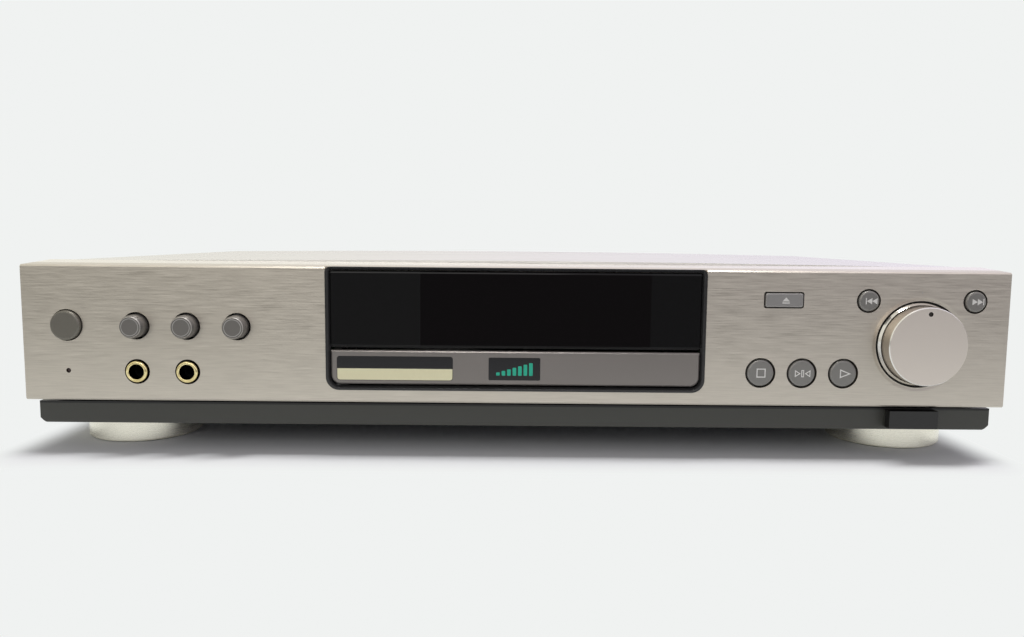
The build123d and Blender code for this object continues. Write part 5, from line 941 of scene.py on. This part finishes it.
for row in (LOW_ROW, HIGH_ROW):
    ramp = nodes.new("ShaderNodeValToRGB")
    ramp.color_ramp.interpolation = "CONSTANT"
    stops = ramp.color_ramp.elements
    for index, colour in enumerate(row):
        stop = stops[0] if index == 0 else stops.new(index / len(row))
        stop.position = index / len(row)
        stop.color = INSULATORS[colour]
    links.new(math_node(nodes, links, "DIVIDE", from_first, len(row)), ramp.inputs["Fac"])
    row_colours.append(ramp.outputs["Color"])
insulator_colour = blend_colours(nodes, links, on_high_row, row_colours[0], row_colours[1])
smeared = place_group(nodes, handling, Patch=0.005, Amount=0.7)
plated = blend_colours(nodes, links, smeared.outputs["Mask"], NICKEL, NICKEL_DARK)
socket_colour = blend_colours(nodes, links, outside, SOCKET_BLACK, plated)
links.new(blend_colours(nodes, links, on_insulator, socket_colour, insulator_colour),
          shader.inputs["Base Color"])
links.new(math_node(nodes, links, "SUBTRACT", outside, on_insulator), shader.inputs["Metallic"])
links.new(vary(nodes, links, smeared.outputs["Mask"], low=0.18, high=0.3),
          shader.inputs["Roughness"])
dress("phono_jacks", sleeve_metal)
for black_socket in ("s_video_jacks", "mains_inlet"):
    dress(black_socket, socket_plastic)

# The loader and the frame behind the panel: black mouldings for the frame, loader and tray, natural
# acetal gears, a brass pulley, steel motors and rods, and a cast pickup with a coated lens. They
# show when the tray is out.
FRAME_BLACK = (0.016, 0.016, 0.017, 1)
FRAME_BLACK_LIGHT = (0.024, 0.024, 0.025, 1)
ACETAL = (0.680, 0.670, 0.630, 1)
ACETAL_LIGHT = (0.720, 0.710, 0.670, 1)
BRASS = (0.600, 0.430, 0.150, 1)
BRASS_LIGHT = (0.700, 0.520, 0.200, 1)
STEEL = (0.560, 0.560, 0.560, 1)
STEEL_DARK = (0.500, 0.500, 0.500, 1)
CAST_GREY = (0.160, 0.160, 0.165, 1)
CAST_GREY_LIGHT = (0.220, 0.220, 0.230, 1)
LENS_BLUE = (0.050, 0.070, 0.140, 1)
LENS_BLUE_LIGHT = (0.070, 0.090, 0.180, 1)

black_moulding = moulded("black moulding", FRAME_BLACK, FRAME_BLACK_LIGHT, roughness=0.5,
                         grain_size=0.0005)
for black_part in ("fascia_frame", "loader_chassis", "disc_tray", "traverse_frame", "turntable",
                   "clamper", "panel_switches", "main_board_chips"):
    dress(black_part, black_moulding)
acetal = moulded("natural acetal", ACETAL, ACETAL_LIGHT, roughness=0.4)
for acetal_part in ("pulley_gear", "tray_drive_gear", "lift_cam", "feed_gear", "feed_pinion"):
    dress(acetal_part, acetal)
dress("motor_pulley", moulded("brass pulley", BRASS, BRASS_LIGHT, roughness=0.35))
motor_steel = sheet_metal("plated motor steel", STEEL_DARK, STEEL, roughness=0.3, patch=0.004)
for steel_part in ("loading_motor", "spindle_motor", "feed_motor", "guide_rods", "heat_sink"):
    dress(steel_part, motor_steel)
dress("pickup_body", metallic_paint("cast pickup body", CAST_GREY, CAST_GREY_LIGHT, roughness=0.45))
dress("objective_lens", moulded("coated lens", LENS_BLUE, LENS_BLUE_LIGHT, roughness=0.1,
                                grain_size=0.002, depth=0.000002))

# The boards are green glass-fibre with paler tracks under the lacquer. The transformer is wound in
# brown tape, the capacitors have blue-black sleeves, and the display is a dark glass tube.
BOARD_GREEN = (0.030, 0.110, 0.045, 1)
BOARD_TRACK = (0.045, 0.160, 0.065, 1)
TRACK_SCALE = 60.0
TAPE_BROWN = (0.400, 0.240, 0.050, 1)
TAPE_BROWN_LIGHT = (0.460, 0.290, 0.070, 1)
SLEEVE_BLUE = (0.020, 0.030, 0.080, 1)
SLEEVE_BLUE_LIGHT = (0.030, 0.040, 0.100, 1)
TUBE_GLASS = (0.020, 0.030, 0.030, 1)
TUBE_GLASS_LIGHT = (0.030, 0.045, 0.045, 1)

board_resist, nodes, links, shader = new_material(
    "green board", BOARD_GREEN, metallic=0.0, roughness=0.35)
tracks = nodes.new("ShaderNodeTexBrick")
tracks.inputs["Scale"].default_value = TRACK_SCALE
tracks.inputs["Mortar Size"].default_value = 0.02
tracks.inputs["Color1"].default_value = BOARD_GREEN
tracks.inputs["Color2"].default_value = BOARD_GREEN
tracks.inputs["Mortar"].default_value = BOARD_TRACK
links.new(nodes.new("ShaderNodeTexCoord").outputs["Object"], tracks.inputs["Vector"])
links.new(tracks.outputs["Color"], shader.inputs["Base Color"])
bump(nodes, links, shader, tracks.outputs["Fac"], depth=0.00003)
for board in ("front_board", "main_board", "power_board"):
    dress(board, board_resist)

dress("power_transformer", moulded("taped winding", TAPE_BROWN, TAPE_BROWN_LIGHT, roughness=0.4))
dress("power_capacitors", moulded("capacitor sleeve", SLEEVE_BLUE, SLEEVE_BLUE_LIGHT,
                                  roughness=0.25))
dress("display_tube", moulded("display tube glass", TUBE_GLASS, TUBE_GLASS_LIGHT, roughness=0.1))
